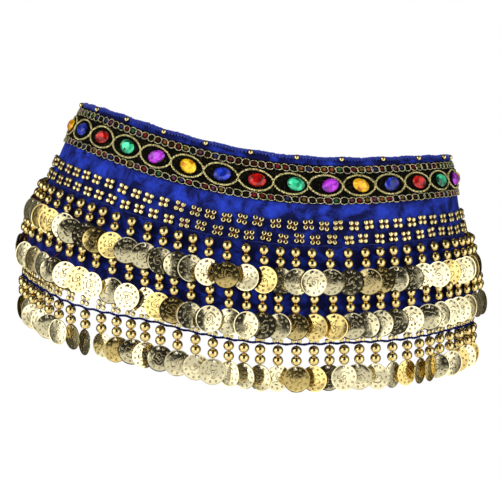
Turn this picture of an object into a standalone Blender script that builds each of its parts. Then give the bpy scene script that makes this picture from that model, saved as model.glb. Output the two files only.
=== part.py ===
"""Belly dance hip scarf, in the hollow form it has when it is worn and tied at the back.

Metres, +Z up, front towards -Y. The origin is on the wearer's axis, level with the
middle of the jewelled band at the front, where the hips hold the scarf.

An angle runs round the figure from 0 at the front, positive towards +X, to 180 degrees
at the back. A drop is the height below the scarf's top edge at the same angle.
"""

import math
import random

import bmesh
import bpy
import numpy as np
from mathutils import Matrix, Vector
from mathutils.geometry import intersect_line_line_2d

MM = 0.001

# The figure: ellipses whose half sizes shrink with the square of the height above
# the widest level of the hips.
HIP_HALF_WIDTH = 0.189
HIP_HALF_DEPTH = 0.118
WIDEST_LEVEL = -0.097
WIDTH_LOSS = 2.0
DEPTH_LOSS = 1.4
SEAT_FULLNESS = 0.08

# How the top edge runs: askew, high on the left hip, dipping at front and back.
FRONT_TOP = 0.019
ASKEW = 0.0266
ASKEW_FLATTER_BELOW = 0.0424
ASKEW_AT_SIDES = 0.0043
ASKEW_AT_SIDES_BELOW = 0.0437
HIP_RISE = 0.0310
HIP_RISE_MORE_BELOW = 0.0499
HIP_RISE_EASED = 0.0119
HIP_RISE_EASED_BELOW = 0.0095
BACK_DIP = 0.0035
BACK_FULL_AT = 0.6

# The hem and the free fringe droop towards both hips.
RIGHT_DROOP = 0.0100
LEFT_DROOP = 0.0035
DROOP_FROM = 0.33
DROOP_FULL = 0.80
DROOP_TOP = 0.122
DROOP_BOTTOM = 0.141

# Where rows ride up or sag on a hip: the side, -1 for the right one, how far up, and
# the drop and half height of the rows that do.
SHIFT_COLUMNS = ("side", "up", "drop", "height")
SHIFTS = [
    (-1, 0.0046, 0.118, 0.017),
    (1, 0.0020, 0.118, 0.017),
    (1, -0.0024, 0.088, 0.016),
]

# The velvet panel, cut narrower towards its ends.
VELVET = 1.6 * MM
HEM_DROP = 0.132
BACK_SHORTER = 0.019
PANEL_END = math.radians(170)
FRINGE_END = math.radians(150)
END_DROP = 0.046
BARE_COLUMNS = 5

# The jewelled band and its stones.
BAND_TOP = 0.0036
BAND_MIDDLE = 0.0190
BAND_BOTTOM = 0.0336
BAND = 1.0 * MM
GEM_LENGTH = 0.014
GEM_HEIGHT = 0.0105
GEM_RISE = 0.0032
GEM_TABLE = 0.55
GEM_SIDES = 8
GEM_PITCH = 0.0270
GEM_FIRST = 0.0055
GEM_SHIFTS = {1: 2.6 * MM, 2: 2.3 * MM}

# The coin fringes: a crocheted chain with two beads and a coin hanging at each stitch.
DANGLES = 60
STRAY = 0.11
CHAIN = 1.5 * MM
CHAIN_HEIGHT = 2.0 * MM
UPPER_CHAIN = 0.0648
MIDDLE_CHAIN = 0.1000
LOWER_CHAIN = 0.1411
BEAD_RADIUS = 3.9 * MM
BEAD_OUT = 4.4 * MM
COIN_RADIUS = 10.3 * MM
COIN_THICK = 1.0 * MM
COIN_MIDDLE = 26.0 * MM
COIN_OUT = 5.0 * MM
COIN_LEAN = math.radians(8)
COIN_TURN = math.radians(24)
COIN_TURN_FREE = math.radians(44)
COIN_TO_FRONT = math.radians(16)
COIN_SWAY = 5.0 * MM
COIN_CALMER_AT_SIDES = 0.55
COIN_APART = 1.7 * MM
COIN_TRIES = 300
CLUSTER_HALF_WIDTH = 3.8 * MM
CLUSTER_HALF_THICK = 1.5 * MM

# Pieces that lie on each other are this far apart.
SEAM = 0.3 * MM

# The ties.
TIE = 1.5 * MM
TIE_TOP = 0.0095
TIE_BOTTOM = 0.0305
KNOT_SIZE = (0.026, 0.016, 0.022)
TAIL_WIDTH = 0.024
TAIL_LENGTH = 0.105
TAIL_START = (0.0062, 0.0020, -0.0122)

# Soft folds of the velvet: the angle and drop of each one's middle, its half width in
# degrees, its half height, and how far it stands out (a ridge) or in (a trough). The
# last four are where the scarf stands away from the hips or is drawn in to them.
FOLD_COLUMNS = ("angle", "width", "out", "drop", "height")
FOLDS = [
    (-128, 15, -1.4 * MM, 0.140, 0.050),
    (-104, 11, 1.3 * MM, 0.140, 0.045),
    (-76, 12, -1.3 * MM, 0.140, 0.050),
    (-47, 10, 1.2 * MM, 0.140, 0.045),
    (-24, 9, -1.5 * MM, 0.140, 0.055),
    (-4, 10, 1.3 * MM, 0.140, 0.040),
    (17, 8, -1.2 * MM, 0.140, 0.050),
    (36, 9, 1.5 * MM, 0.140, 0.045),
    (58, 10, -1.4 * MM, 0.140, 0.055),
    (83, 12, 1.2 * MM, 0.140, 0.045),
    (109, 13, -1.3 * MM, 0.140, 0.050),
    (134, 14, 1.4 * MM, 0.140, 0.045),
    (-92, 32, 4.5 * MM, 0.150, 0.045),
    (90, 32, 4.0 * MM, 0.000, 0.040),
    (-92, 32, -3.5 * MM, 0.050, 0.050),
    (90, 32, -5.0 * MM, 0.055, 0.045),
]

# Sections of a dangle below its chain: how far down, half width, half thickness, and
# whether it turns with the coin.
SECTION_COLUMNS = ("down", "half_width", "half_thick", "coin")
DANGLE_SECTIONS = [
    (4.2 * MM, BEAD_RADIUS, BEAD_RADIUS, False),
    (8.1 * MM, 1.1 * MM, 1.1 * MM, False),
    (12.0 * MM, BEAD_RADIUS, BEAD_RADIUS, False),
    (16.1 * MM, 1.6 * MM, COIN_THICK / 2, True),
    (20.4 * MM, 0.9 * COIN_RADIUS, COIN_THICK / 2, True),
    (30.4 * MM, 0.9 * COIN_RADIUS, COIN_THICK / 2, True),
    (35.8 * MM, 0.4 * COIN_RADIUS, COIN_THICK / 2, True),
]

# The fringe that hangs free also shows the thread above its first beads.
FREE_STEM = [(1.0 * MM, 1.1 * MM, 1.1 * MM, False)]


def clear_scene():
    for old in list(bpy.data.objects):
        bpy.data.objects.remove(old, do_unlink=True)


def ease(share):
    """0 to 1 with flat ends."""
    share = min(max(share, 0.0), 1.0)
    return share * share * (3 - 2 * share)


def back_share(angle):
    """0 on the front half, rising smoothly to 1 across the back."""
    return ease(-math.cos(angle) / BACK_FULL_AT)


def level(angle, drop):
    """The height of a place on the scarf."""
    s = math.sin(angle)
    back = back_share(angle)
    askew = (ASKEW - ASKEW_FLATTER_BELOW * drop) * s
    askew -= (ASKEW_AT_SIDES - ASKEW_AT_SIDES_BELOW * drop) * s**3
    rise = (HIP_RISE + HIP_RISE_MORE_BELOW * drop) * s**2
    rise -= (HIP_RISE_EASED - HIP_RISE_EASED_BELOW * drop) * s**4
    shorter = BACK_SHORTER * back * ease((drop - BAND_BOTTOM) / (UPPER_CHAIN - BAND_BOTTOM))
    droop = (RIGHT_DROOP if s < 0 else LEFT_DROOP) * (1 - back)
    droop *= ease((abs(s) - DROOP_FROM) / (DROOP_FULL - DROOP_FROM))
    droop *= ease((drop - DROOP_TOP) / (DROOP_BOTTOM - DROOP_TOP))
    height = FRONT_TOP - askew + rise - BACK_DIP * back - drop + shorter - droop
    for row in SHIFTS:
        shift = dict(zip(SHIFT_COLUMNS, row))
        away = (drop - shift["drop"]) / shift["height"]
        height += shift["up"] * ease(shift["side"] * s) * math.exp(-away * away)
    return height


def fold(angle, drop):
    """How far the velvet's folds move it outwards."""
    out = 0.0
    for row in FOLDS:
        f = dict(zip(FOLD_COLUMNS, row))
        across = (math.degrees(angle) - f["angle"]) / f["width"]
        down = (drop - f["drop"]) / f["height"]
        out += f["out"] * math.exp(-across * across - down * down)
    return out


def outward(angle, z):
    """The horizontal direction away from the figure's surface."""
    a, b = half_sizes(angle, z)
    return Vector((b * math.sin(angle), -a * math.cos(angle), 0)).normalized()


def half_sizes(angle, z):
    above = (z - WIDEST_LEVEL) ** 2
    seat = 1 + SEAT_FULLNESS * back_share(angle)
    return HIP_HALF_WIDTH - WIDTH_LOSS * above, (HIP_HALF_DEPTH - DEPTH_LOSS * above) * seat


def cloth_point(angle, drop, out=0.0):
    """A point on the velvet's outer face, or out metres beyond it."""
    z = level(angle, drop)
    a, b = half_sizes(angle, z)
    on_figure = Vector((a * math.sin(angle), -b * math.cos(angle), z))
    return on_figure + outward(angle, z) * (out + fold(angle, drop))


def spaced_angles(first, last, count, drop):
    """count + 1 angles from first to last, evenly spaced along the scarf at that drop."""
    fine = np.linspace(first, last, 721)
    points = np.array([cloth_point(a, drop) for a in fine])
    steps = np.linalg.norm(np.diff(points, axis=0), axis=1)
    along = np.concatenate([[0], np.cumsum(steps)])
    return [float(a) for a in np.interp(np.linspace(0, along[-1], count + 1), along, fine)]


def column_angles():
    """The angles of the panel's columns. The fringed ones are one dangle wide each."""
    fringed = spaced_angles(-FRINGE_END, FRINGE_END, DANGLES, MIDDLE_CHAIN)
    bare = spaced_angles(FRINGE_END, PANEL_END, BARE_COLUMNS, BAND_MIDDLE)[1:]
    return [-a for a in reversed(bare)] + fringed + bare


def hem_share(angle):
    """How much of the panel's height is left at an angle, where its ends are cut away."""
    cut = ease((abs(angle) - FRINGE_END) / (PANEL_END - FRINGE_END))
    return 1 - cut * (1 - END_DROP / HEM_DROP)


def material(name, colour, roughness, metallic=0.0):
    made = bpy.data.materials.new(name)
    made.use_nodes = True
    shader = made.node_tree.nodes["Principled BSDF"]
    shader.inputs["Base Color"].default_value = (*colour, 1)
    shader.inputs["Roughness"].default_value = roughness
    shader.inputs["Metallic"].default_value = metallic
    return made


def finish_object(name, bm, collection, look):
    mesh = bpy.data.meshes.new(name)
    bm.to_mesh(mesh)
    bm.free()
    made = bpy.data.objects.new(name, mesh)
    made.data.materials.append(look)
    collection.objects.link(made)
    return made


def sheet_mesh(columns, rows, place):
    """A grid of columns by rows cells, whose corners place(column, row) puts in space."""
    bm = bmesh.new()
    bmesh.ops.create_grid(bm, x_segments=columns, y_segments=rows, size=1.0)
    for v in bm.verts:
        column = round((v.co.x + 1) / 2 * columns)
        row = round((1 - v.co.y) / 2 * rows)
        v.co = place(column, row)
    return bm


def thicken(made, thickness, inwards):
    wall = made.modifiers.new("Wall", "SOLIDIFY")
    wall.thickness = thickness
    wall.offset = -1 if inwards else 1


def velvet_panel(collection, look, angles):
    """The cloth itself, from its top edge to its hem, round from end to end."""
    drops = [0, BAND_TOP, BAND_MIDDLE, BAND_BOTTOM, 0.052, UPPER_CHAIN, 0.085, MIDDLE_CHAIN, HEM_DROP]

    def place(column, row):
        angle = angles[column]
        drop = drops[row]
        if drop > BAND_BOTTOM:
            drop = BAND_BOTTOM + (drop - BAND_BOTTOM) * band_to_hem(angle)
        return cloth_point(angle, drop)

    made = finish_object("velvet_panel", sheet_mesh(len(angles) - 1, len(drops) - 1, place), collection, look)
    thicken(made, VELVET, True)


def band_to_hem(angle):
    """The share that is left of the height between the band and the hem."""
    return (HEM_DROP * hem_share(angle) - BAND_BOTTOM) / (HEM_DROP - BAND_BOTTOM)


def jewel_band(collection, look, angles):
    """The woven band on the panel's upper part, made from the panel's own points."""
    drops = [BAND_TOP, BAND_MIDDLE, BAND_BOTTOM]

    def place(column, row):
        return cloth_point(angles[column], drops[row], SEAM)

    made = finish_object("jewel_band", sheet_mesh(len(angles) - 1, len(drops) - 1, place), collection, look)
    thicken(made, BAND, False)


def gem_angles():
    """Where the stones sit: one pitch apart along the band, both ways from the first."""
    fine = np.linspace(-PANEL_END, PANEL_END, 1441)
    points = np.array([cloth_point(a, BAND_MIDDLE) for a in fine])
    along = np.concatenate([[0], np.cumsum(np.linalg.norm(np.diff(points, axis=0), axis=1))])
    first = np.interp(0, fine, along) + GEM_FIRST
    lowest = math.ceil((GEM_LENGTH - first) / GEM_PITCH)
    highest = math.floor((along[-1] - GEM_LENGTH - first) / GEM_PITCH)
    places = {n: first + n * GEM_PITCH + GEM_SHIFTS.get(n, 0.0) for n in range(lowest, highest + 1)}
    return {n: float(np.interp(place, along, fine)) for n, place in places.items()}


def surface_axes(angle, drop, out):
    """A frame that lies on the cloth: along it, up it and out of it."""
    step = 0.002
    origin = cloth_point(angle, drop, out)
    along = (cloth_point(angle + step, drop, out) - cloth_point(angle - step, drop, out)).normalized()
    up = cloth_point(angle, drop - step, out) - cloth_point(angle, drop + step, out)
    out_of = along.cross(up).normalized()
    axes = Matrix((along, out_of.cross(along), out_of)).transposed().to_4x4()
    axes.translation = origin
    return axes


def gems(collection, looks):
    """Faceted oval stones, flat on the band."""
    for n, angle in gem_angles().items():
        bm = bmesh.new()
        bmesh.ops.create_cone(
            bm, cap_ends=True, segments=GEM_SIDES, radius1=0.5, radius2=0.5 * GEM_TABLE, depth=1.0
        )
        bmesh.ops.translate(bm, verts=bm.verts, vec=(0, 0, 0.5))
        bmesh.ops.scale(bm, verts=bm.verts, vec=(GEM_LENGTH, GEM_HEIGHT, GEM_RISE))
        side = "left" if n < 0 else "right"
        made = finish_object(f"gem_{side}_{abs(n):02d}", bm, collection, looks[n % len(looks)])
        made.matrix_world = surface_axes(angle, BAND_MIDDLE, BAND + 2 * SEAM)


def apart(one, other):
    """The distance between two straight lines in plan, each given by its two ends."""
    if intersect_line_line_2d(*one, *other):
        return 0.0
    gaps = []
    for (start, end), points in ((one, other), (other, one)):
        along = end - start
        for point in points:
            share = (point - start).dot(along) / along.length_squared
            gaps.append((point - start - along * min(max(share, 0), 1)).length)
    return min(gaps)


class Fringe:
    """A chain with its dangles, all one closed body."""

    def __init__(self, angles, chain_drop, hangs_free, seed):
        self.angles = angles
        self.chain_drop = chain_drop
        self.hangs_free = hangs_free
        self.coins = []
        self.turn_coins(random.Random(seed))
        self.chain_out = -VELVET if hangs_free else SEAM
        self.bm = bmesh.new()
        self.column = self.bm.verts.layers.int.new("column")
        self.row = self.bm.verts.layers.int.new("row")
        self.outer = self.bm.verts.layers.int.new("outer")
        self.make_chain()

    def make_chain(self):
        bm = self.bm
        columns = len(self.angles) - 1
        bmesh.ops.create_grid(bm, x_segments=columns, y_segments=1, size=1.0)
        for v in bm.verts:
            v[self.column] = round((v.co.x + 1) / 2 * columns)
            v[self.row] = round((1 - v.co.y) / 2)
        made = bmesh.ops.extrude_face_region(bm, geom=bm.faces[:], use_keep_orig=True)
        for v in made["geom"]:
            if isinstance(v, bmesh.types.BMVert):
                v[self.outer] = 1
        for v in bm.verts:
            out = self.chain_out + CHAIN * v[self.outer]
            v.co = cloth_point(self.angles[v[self.column]], self.chain_drop + CHAIN_HEIGHT * v[self.row], out)
        bmesh.ops.recalc_face_normals(bm, faces=bm.faces)
        if bm.calc_volume(signed=True) < 0:
            bmesh.ops.reverse_faces(bm, faces=bm.faces)

    def edge_faces(self, row):
        """The faces along the chain's top, row 0, or its bottom, row 1."""
        return [f for f in self.bm.faces if all(v[self.row] == row for v in f.verts)]

    def middle(self, index):
        """The angle at the middle of a dangle, a little off the middle of its column."""
        first, last = self.angles[index], self.angles[index + 1]
        share = 0.5 + STRAY * math.sin(7.3 * index + 40 * self.chain_drop)
        return first + share * (last - first)

    def centre(self, index, down, out):
        """A point on the line of a dangle. It lies on the cloth, or hangs straight down."""
        angle = self.middle(index)
        start = self.chain_drop + CHAIN_HEIGHT
        if not self.hangs_free:
            return cloth_point(angle, start + down, out)
        return cloth_point(angle, start, out) - Vector((0, 0, down))

    def grow(self, faces, section, place):
        """One more section on each strand, put in place by place(index, section)."""
        grown = bmesh.ops.extrude_discrete_faces(self.bm, faces=faces)["faces"]
        for face in grown:
            index = min(v[self.column] for v in face.verts)
            centre, along, out = place(index, section)
            for v in face.verts:
                side = 1 if v[self.column] > index else -1
                front = 1 if v[self.outer] else -1
                v.co = centre + along * side * section["half_width"] + out * front * section["half_thick"]
        return grown

    def coin_plan(self, index, turn, reach):
        """A coin seen from above: the two ends of its widest line."""
        out = outward(self.middle(index), level(self.middle(index), self.chain_drop))
        across = Matrix.Rotation(turn, 3, "Z") @ Vector((-out.y, out.x, 0)) * COIN_RADIUS
        middle = self.centre(index, COIN_MIDDLE, reach)
        return (middle - across).xy, (middle + across).xy

    def turn_coins(self, draw):
        """Each coin's turn and reach from the cloth, so that it clears the coin before it."""
        most = COIN_TURN_FREE if self.hangs_free else COIN_TURN
        before = None
        for index in range(len(self.angles) - 1):
            calm = 1.0
            if not self.hangs_free:
                calm -= COIN_CALMER_AT_SIDES * math.sin(self.middle(index)) ** 4
            to_front = -COIN_TO_FRONT * math.sin(2 * self.middle(index))
            tried = []
            for _ in range(COIN_TRIES):
                turn = to_front + draw.uniform(-most, most) * calm
                reach = draw.uniform(0, COIN_SWAY) * calm
                if self.hangs_free:
                    reach -= (COIN_SWAY + VELVET) / 2
                else:
                    reach += max(COIN_OUT, COIN_APART + COIN_RADIUS * abs(math.sin(turn)))
                plan = self.coin_plan(index, turn, reach)
                gap = apart(before, plan) if before else COIN_APART
                tried.append((min(gap, COIN_APART), turn, reach, plan))
                if gap >= COIN_APART:
                    break
            _, turn, reach, before = max(tried, key=lambda one: one[0])
            self.coins.append((turn, reach))

    def place_dangle(self, index, section):
        turn = 0.0
        reach = -VELVET / 2 if self.hangs_free else BEAD_OUT
        if section["coin"]:
            turn, reach = self.coins[index]
            if not self.hangs_free:
                reach += (section["down"] - COIN_MIDDLE) * math.tan(COIN_LEAN)
        out = outward(self.middle(index), level(self.middle(index), self.chain_drop))
        out = Matrix.Rotation(turn, 3, "Z") @ out
        return self.centre(index, section["down"], reach), Vector((-out.y, out.x, 0)), out

    def hang_dangles(self):
        faces = self.edge_faces(1)
        for row in (FREE_STEM if self.hangs_free else []) + DANGLE_SECTIONS:
            faces = self.grow(faces, dict(zip(SECTION_COLUMNS, row)), self.place_dangle)

    def place_cluster(self, index, section):
        angle = self.middle(index)
        axes = surface_axes(angle, section["down"], -VELVET / 2)
        return axes.translation, axes.col[0].xyz, outward(angle, axes.translation.z)

    def raise_clusters(self):
        """The bead clusters that hang the chain from the hem."""
        faces = self.edge_faces(0)
        for drop in (self.chain_drop - CHAIN_HEIGHT / 2, HEM_DROP + 2 * SEAM):
            row = (drop, CLUSTER_HALF_WIDTH, CLUSTER_HALF_THICK, False)
            faces = self.grow(faces, dict(zip(SECTION_COLUMNS, row)), self.place_cluster)


def coin_fringe(name, collection, look, angles, chain_drop, hangs_free, seed):
    fringed = angles[BARE_COLUMNS : len(angles) - BARE_COLUMNS]
    fringe = Fringe(fringed, chain_drop, hangs_free, seed)
    fringe.hang_dangles()
    if hangs_free:
        fringe.raise_clusters()
    finish_object(name, fringe.bm, collection, look)


def knot_centre():
    z = level(math.pi, (TIE_TOP + TIE_BOTTOM) / 2)
    back = half_sizes(math.pi, z)[1]
    return Vector((0, back + KNOT_SIZE[1] / 2 - 0.004, z))


def tie_knot(collection, look):
    """The knot, a soft lump rounded from a coarse cage."""
    bm = bmesh.new()
    bmesh.ops.create_cube(bm, size=1.0)
    bmesh.ops.scale(bm, verts=bm.verts, vec=[1.35 * s for s in KNOT_SIZE])
    made = finish_object("tie_knot", bm, collection, look)
    made.location = knot_centre()
    soft = made.modifiers.new("Soft", "SUBSURF")
    soft.levels = soft.render_levels = 2


def tie_band(name, collection, look, side):
    """The stretch of a tie from the panel's end to the knot."""
    segments = 6
    knot = knot_centre()
    near_knot = knot + Vector((side * (KNOT_SIZE[0] * 0.58 + 1.5 * SEAM), 0, 0))

    def place(column, row):
        share = column / segments if side > 0 else 1 - column / segments
        width = 1 - 0.5 * ease(share)
        drop = (TIE_TOP + TIE_BOTTOM) / 2 + (row - 0.5) * (TIE_BOTTOM - TIE_TOP) * width
        start = cloth_point(side * PANEL_END, drop, -2 * SEAM)
        start += Vector((-side * SEAM * 1.5, 0, 0))
        end = Vector((near_knot.x, near_knot.y, level(math.pi, drop)))
        point = start.lerp(end, share)
        return point

    # Columns run with the angle, so the face that the grid shows points out of the figure.
    made = finish_object(name, sheet_mesh(segments, 1, place), collection, look)
    thicken(made, TIE, True)


def tie_tail(name, collection, look, side):
    """The end of a tie, hanging from the knot over the panel's bare end."""
    segments = 7
    start = knot_centre() + Vector((side * TAIL_START[0], TAIL_START[1], TAIL_START[2]))

    def place(column, row):
        share = row / segments
        width = TAIL_WIDTH * (0.45 + 0.55 * ease(3 * share))
        slant = 0.010 * share if (column > 0) == (side > 0) else 0.0
        swing = side * 0.026 * share + 0.002 * math.sin(9 * share)
        across = (0.5 - column) * width
        out = 0.006 * ease(2 * share) + side * 0.001 * math.sin(7 * share)
        return start + Vector((swing + across, out, -share * (TAIL_LENGTH - slant)))

    made = finish_object(name, sheet_mesh(1, segments, place), collection, look)
    thicken(made, TIE, False)


def main():
    clear_scene()
    scarf = bpy.data.collections.new("belly_dance_hip_scarf")
    bpy.context.scene.collection.children.link(scarf)
    velvet = material("royal_blue_velvet", (0.02, 0.03, 0.35), 0.85)
    woven = material("black_and_gold_braid", (0.05, 0.04, 0.02), 0.6)
    gold = material("gilded_coins_and_beads", (0.75, 0.55, 0.2), 0.3, 1.0)
    stones = [
        material("ruby_acrylic", (0.7, 0.02, 0.02), 0.1),
        material("emerald_acrylic", (0.02, 0.4, 0.2), 0.1),
        material("amethyst_acrylic", (0.35, 0.02, 0.6), 0.1),
        material("amber_acrylic", (0.85, 0.45, 0.02), 0.1),
        material("sapphire_acrylic", (0.02, 0.05, 0.6), 0.1),
    ]
    angles = column_angles()
    velvet_panel(scarf, velvet, angles)
    jewel_band(scarf, woven, angles)
    gems(scarf, stones)
    coin_fringe("coin_fringe_upper", scarf, gold, angles, UPPER_CHAIN, False, 18)
    coin_fringe("coin_fringe_middle", scarf, gold, angles, MIDDLE_CHAIN, False, 38)
    coin_fringe("coin_fringe_lower", scarf, gold, angles, LOWER_CHAIN, True, 44)
    tie_knot(scarf, velvet)
    for side, word in ((-1, "left"), (1, "right")):
        tie_band(f"tie_band_{word}", scarf, velvet, side)
        tie_tail(f"tie_tail_{word}", scarf, velvet, side)


main()
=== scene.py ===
"""The looks of a belly dance hip scarf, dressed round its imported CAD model.

Lengths are in metres, +Z is up and the front is towards -Y. An angle runs round the
figure from 0 at the front, positive towards +X. A drop is the height below the scarf's
top edge at the same angle, and "along" is the distance round the scarf from the front.
"""

from __future__ import annotations

import logging
import math
import random
from dataclasses import dataclass, field, replace
from enum import Enum
from typing import Any, Callable, Iterable, Sequence

import bmesh
import bpy
import numpy as np
from mathutils import Matrix, Vector, noise
from mathutils.geometry import intersect_line_line_2d


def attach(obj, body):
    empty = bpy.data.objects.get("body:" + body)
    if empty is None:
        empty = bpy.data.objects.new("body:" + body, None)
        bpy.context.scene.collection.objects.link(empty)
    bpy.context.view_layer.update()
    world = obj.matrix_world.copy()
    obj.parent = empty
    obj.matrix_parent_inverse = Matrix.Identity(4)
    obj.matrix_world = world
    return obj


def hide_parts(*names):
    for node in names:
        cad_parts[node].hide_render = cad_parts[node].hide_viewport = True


LOG = logging.getLogger("hip_scarf")
MM = 0.001
ROOT = "root"

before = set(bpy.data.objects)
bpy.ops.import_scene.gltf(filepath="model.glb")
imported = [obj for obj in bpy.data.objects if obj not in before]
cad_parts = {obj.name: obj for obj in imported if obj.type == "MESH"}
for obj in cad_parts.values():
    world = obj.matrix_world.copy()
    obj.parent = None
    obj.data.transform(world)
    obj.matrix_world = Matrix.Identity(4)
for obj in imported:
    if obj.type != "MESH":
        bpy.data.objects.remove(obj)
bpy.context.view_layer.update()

# The node kinds that most finishes use, and the settings of their sums.
MATH = "ShaderNodeMath"
NOISE = "ShaderNodeTexNoise"
RANGE = "ShaderNodeMapRange"
PLUS, LESS, TIMES, MOST = ({"operation": word} for word in ("ADD", "SUBTRACT", "MULTIPLY", "MAXIMUM"))
SOFT_STEP = {"interpolation_type": "SMOOTHSTEP"}


# Colours and nodes


def linear(hex_colour: str) -> tuple[float, float, float, float]:
    """Turns an sRGB hex colour into linear RGBA.

    Args:
        hex_colour: Six hex digits, with or without a leading hash.

    Returns:
        Linear red, green, blue and an alpha of 1.
    """
    digits = hex_colour.lstrip("#")
    channels = [int(digits[i : i + 2], 16) / 255 for i in (0, 2, 4)]
    red, green, blue = (
        c / 12.92 if c <= 0.04045 else ((c + 0.055) / 1.055) ** 2.4 for c in channels
    )
    return red, green, blue, 1.0


def add_node(
    tree: bpy.types.NodeTree, kind: str, settings: dict[str | int, Any] | None = None, *feeds: Any
) -> bpy.types.Node:
    """Adds one node with its settings and its links.

    Args:
        tree: The node tree.
        kind: The node's type name.
        settings: Node properties by name, and what inputs get by name or index.
        feeds: What the first inputs get, in order: a socket, a node for its first
            output, a plain value, or None to leave the input alone.

    Returns:
        The new node.
    """
    node = tree.nodes.new(kind)
    inputs: dict[str | int, Any] = dict(enumerate(feeds))
    for name, value in (settings or {}).items():
        if isinstance(name, str) and hasattr(node, name):
            setattr(node, name, value)
        else:
            inputs[name] = value
    for name, value in inputs.items():
        if isinstance(value, bpy.types.Node):
            value = value.outputs[0]
        if isinstance(value, bpy.types.NodeSocket):
            tree.links.new(value, node.inputs[name])
        elif value is not None:
            node.inputs[name].default_value = value
    return node


# Finishes


@dataclass(frozen=True)
class Finish:
    """A finish: one Principled material with a procedural colour and relief.

    By itself it is fibrous. The fibres are drawn far coarser than real, to show at all.
    """

    name: str
    slot: str
    dark: str
    light: str
    roughness: float = 0.5
    metallic: float = 0.0
    coat: float = 0.0
    sheen: float = 0.0
    sheen_colour: str = "#FFFFFF"
    gloss: float = 0.5
    rim: str = "#FFFFFF"
    fibre: float = 1.1 * MM
    depth: float = 0.25 * MM

    def start(self) -> tuple[bpy.types.Material, bpy.types.NodeTree, bpy.types.Node]:
        """Makes the material with its plain shader values.

        Returns:
            The material, its node tree and its shader.
        """
        made = bpy.data.materials.new(self.name)
        made.use_nodes = True
        tree = made.node_tree
        shader = tree.nodes["Principled BSDF"]
        for socket, value in (
            ("Roughness", self.roughness),
            ("Metallic", self.metallic),
            ("Coat Weight", self.coat),
            ("Sheen Weight", self.sheen),
            ("Sheen Tint", linear(self.sheen_colour)),
            ("Sheen Roughness", 0.35),
            ("Specular IOR Level", self.gloss),
            ("Specular Tint", linear(self.rim)),
        ):
            shader.inputs[socket].default_value = value
        return made, tree, shader

    def tint(
        self, tree: bpy.types.NodeTree, shader: bpy.types.Node, share: bpy.types.Node
    ) -> bpy.types.Node:
        """Mixes the dark and the light colour by a share and feeds the shader.

        Args:
            tree: The material's node tree.
            shader: Its shader.
            share: A node that gives 0 for the dark colour and 1 for the light one.

        Returns:
            The mix node.
        """
        colours = {"data_type": "RGBA", 6: linear(self.dark), 7: linear(self.light)}
        mix = add_node(tree, "ShaderNodeMix", colours, share)
        tree.links.new(mix.outputs[2], shader.inputs["Base Color"])
        return mix

    def relief(
        self,
        tree: bpy.types.NodeTree,
        shader: bpy.types.Node,
        height: bpy.types.Node,
        strength: float = 1.0,
    ) -> None:
        """Bumps the surface by the finish's depth.

        Args:
            tree: The material's node tree.
            shader: Its shader.
            height: A node that gives the height, 0 to 1.
            strength: The bump's strength.
        """
        settings = {"Strength": strength, "Distance": self.depth, "Height": height}
        bump = add_node(tree, "ShaderNodeBump", settings)
        tree.links.new(bump.outputs[0], shader.inputs["Normal"])

    def build(self) -> bpy.types.Material:
        """Builds a fibrous finish: colour and relief from fine noise.

        Returns:
            The material.
        """
        made, tree, shader = self.start()
        place = add_node(tree, "ShaderNodeTexCoord")
        fibres = {"Scale": 1 / self.fibre, "Detail": 3.0}
        grain = add_node(tree, NOISE, fibres, place.outputs["Object"])
        self.tint(tree, shader, grain)
        self.relief(tree, shader, grain)
        return made


@dataclass(frozen=True)
class VelvetFinish(Finish):
    """Crushed polyester velvet, dyed royal blue.

    A cut pile on a knitted ground, with a soft sheen at grazing angles. Its crushed mottling is
    partly the pile's own and partly painted: painted sheen where the pile is brushed towards the
    light, and painted shade, almost black, in the hollows of its bump. The pile is drawn in tufts,
    far coarser than its fibres, to show at all. Painted light makes the velvet below the braid the
    brightest and lifts it under the coins.
    """

    patch: float = 13 * MM
    pile: float = 0.9 * MM
    # Painted light on the bare velvet below the braid: where it starts and ends, its fade and its gain.
    painted_light_top: float = 6 * MM
    painted_light_bottom: float = 45 * MM
    painted_light_fade: float = 6 * MM
    painted_light_gain: float = 0.4
    # Painted light under the coins, lifting their shade: where it starts, its fade and its gain.
    painted_fill_from: float = 68 * MM
    painted_fill_fade: float = 9 * MM
    painted_fill_gain: float = 0.2
    depth: float = 0.30 * MM

    def build(self) -> bpy.types.Material:
        """Builds the velvet from its cloth UV map, in metres along and down.

        Returns:
            The material.
        """
        made, tree, shader = self.start()
        cloth = add_node(tree, "ShaderNodeUVMap", {"uv_map": "cloth"})
        crushed = {"Scale": 1 / self.patch, "Detail": 4.0, "Roughness": 0.6, "Distortion": 0.6}
        brushed = add_node(tree, NOISE, crushed, cloth)
        pile = add_node(tree, NOISE, {"Scale": 1 / self.pile, "Detail": 2.0}, cloth)
        down = add_node(tree, "ShaderNodeSeparateXYZ", None, cloth).outputs[1]
        # Painted light: the bare velvet below the braid is painted the brightest.
        edges = []
        for edge in (self.painted_light_bottom, self.painted_light_top):
            end = edge + self.painted_light_fade
            edges.append(add_node(tree, RANGE, SOFT_STEP, down, edge, end, self.painted_light_gain, 0.0))
        painted_light = add_node(tree, MATH, LESS, *edges)
        # Painted light under the coins: the velvet there is painted paler, to lift the shade of the
        # coins and beads.
        start, end = self.painted_fill_from, self.painted_fill_from + self.painted_fill_fade
        painted_fill = add_node(tree, RANGE, SOFT_STEP, down, start, end, 0.0, self.painted_fill_gain)
        painted_light = add_node(tree, MATH, PLUS, painted_light, painted_fill)
        # The crushed mottling: paler tufts of painted sheen, and painted shade in the bump's hollows.
        patches = add_node(tree, RANGE, {"clamp": False}, brushed, 0.5, 0.8, 0.05, 1.2)
        fibres = add_node(tree, RANGE, {"clamp": False}, pile, 0.0, 1.0, -0.55, 0.55)
        mottled = add_node(tree, MATH, PLUS, patches, fibres)
        self.tint(tree, shader, add_node(tree, MATH, PLUS | {"use_clamp": True}, mottled, painted_light))
        height = add_node(tree, MATH, {"operation": "MULTIPLY_ADD"}, brushed, 2.0, pile)
        self.relief(tree, shader, height, 0.9)
        return made


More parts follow.
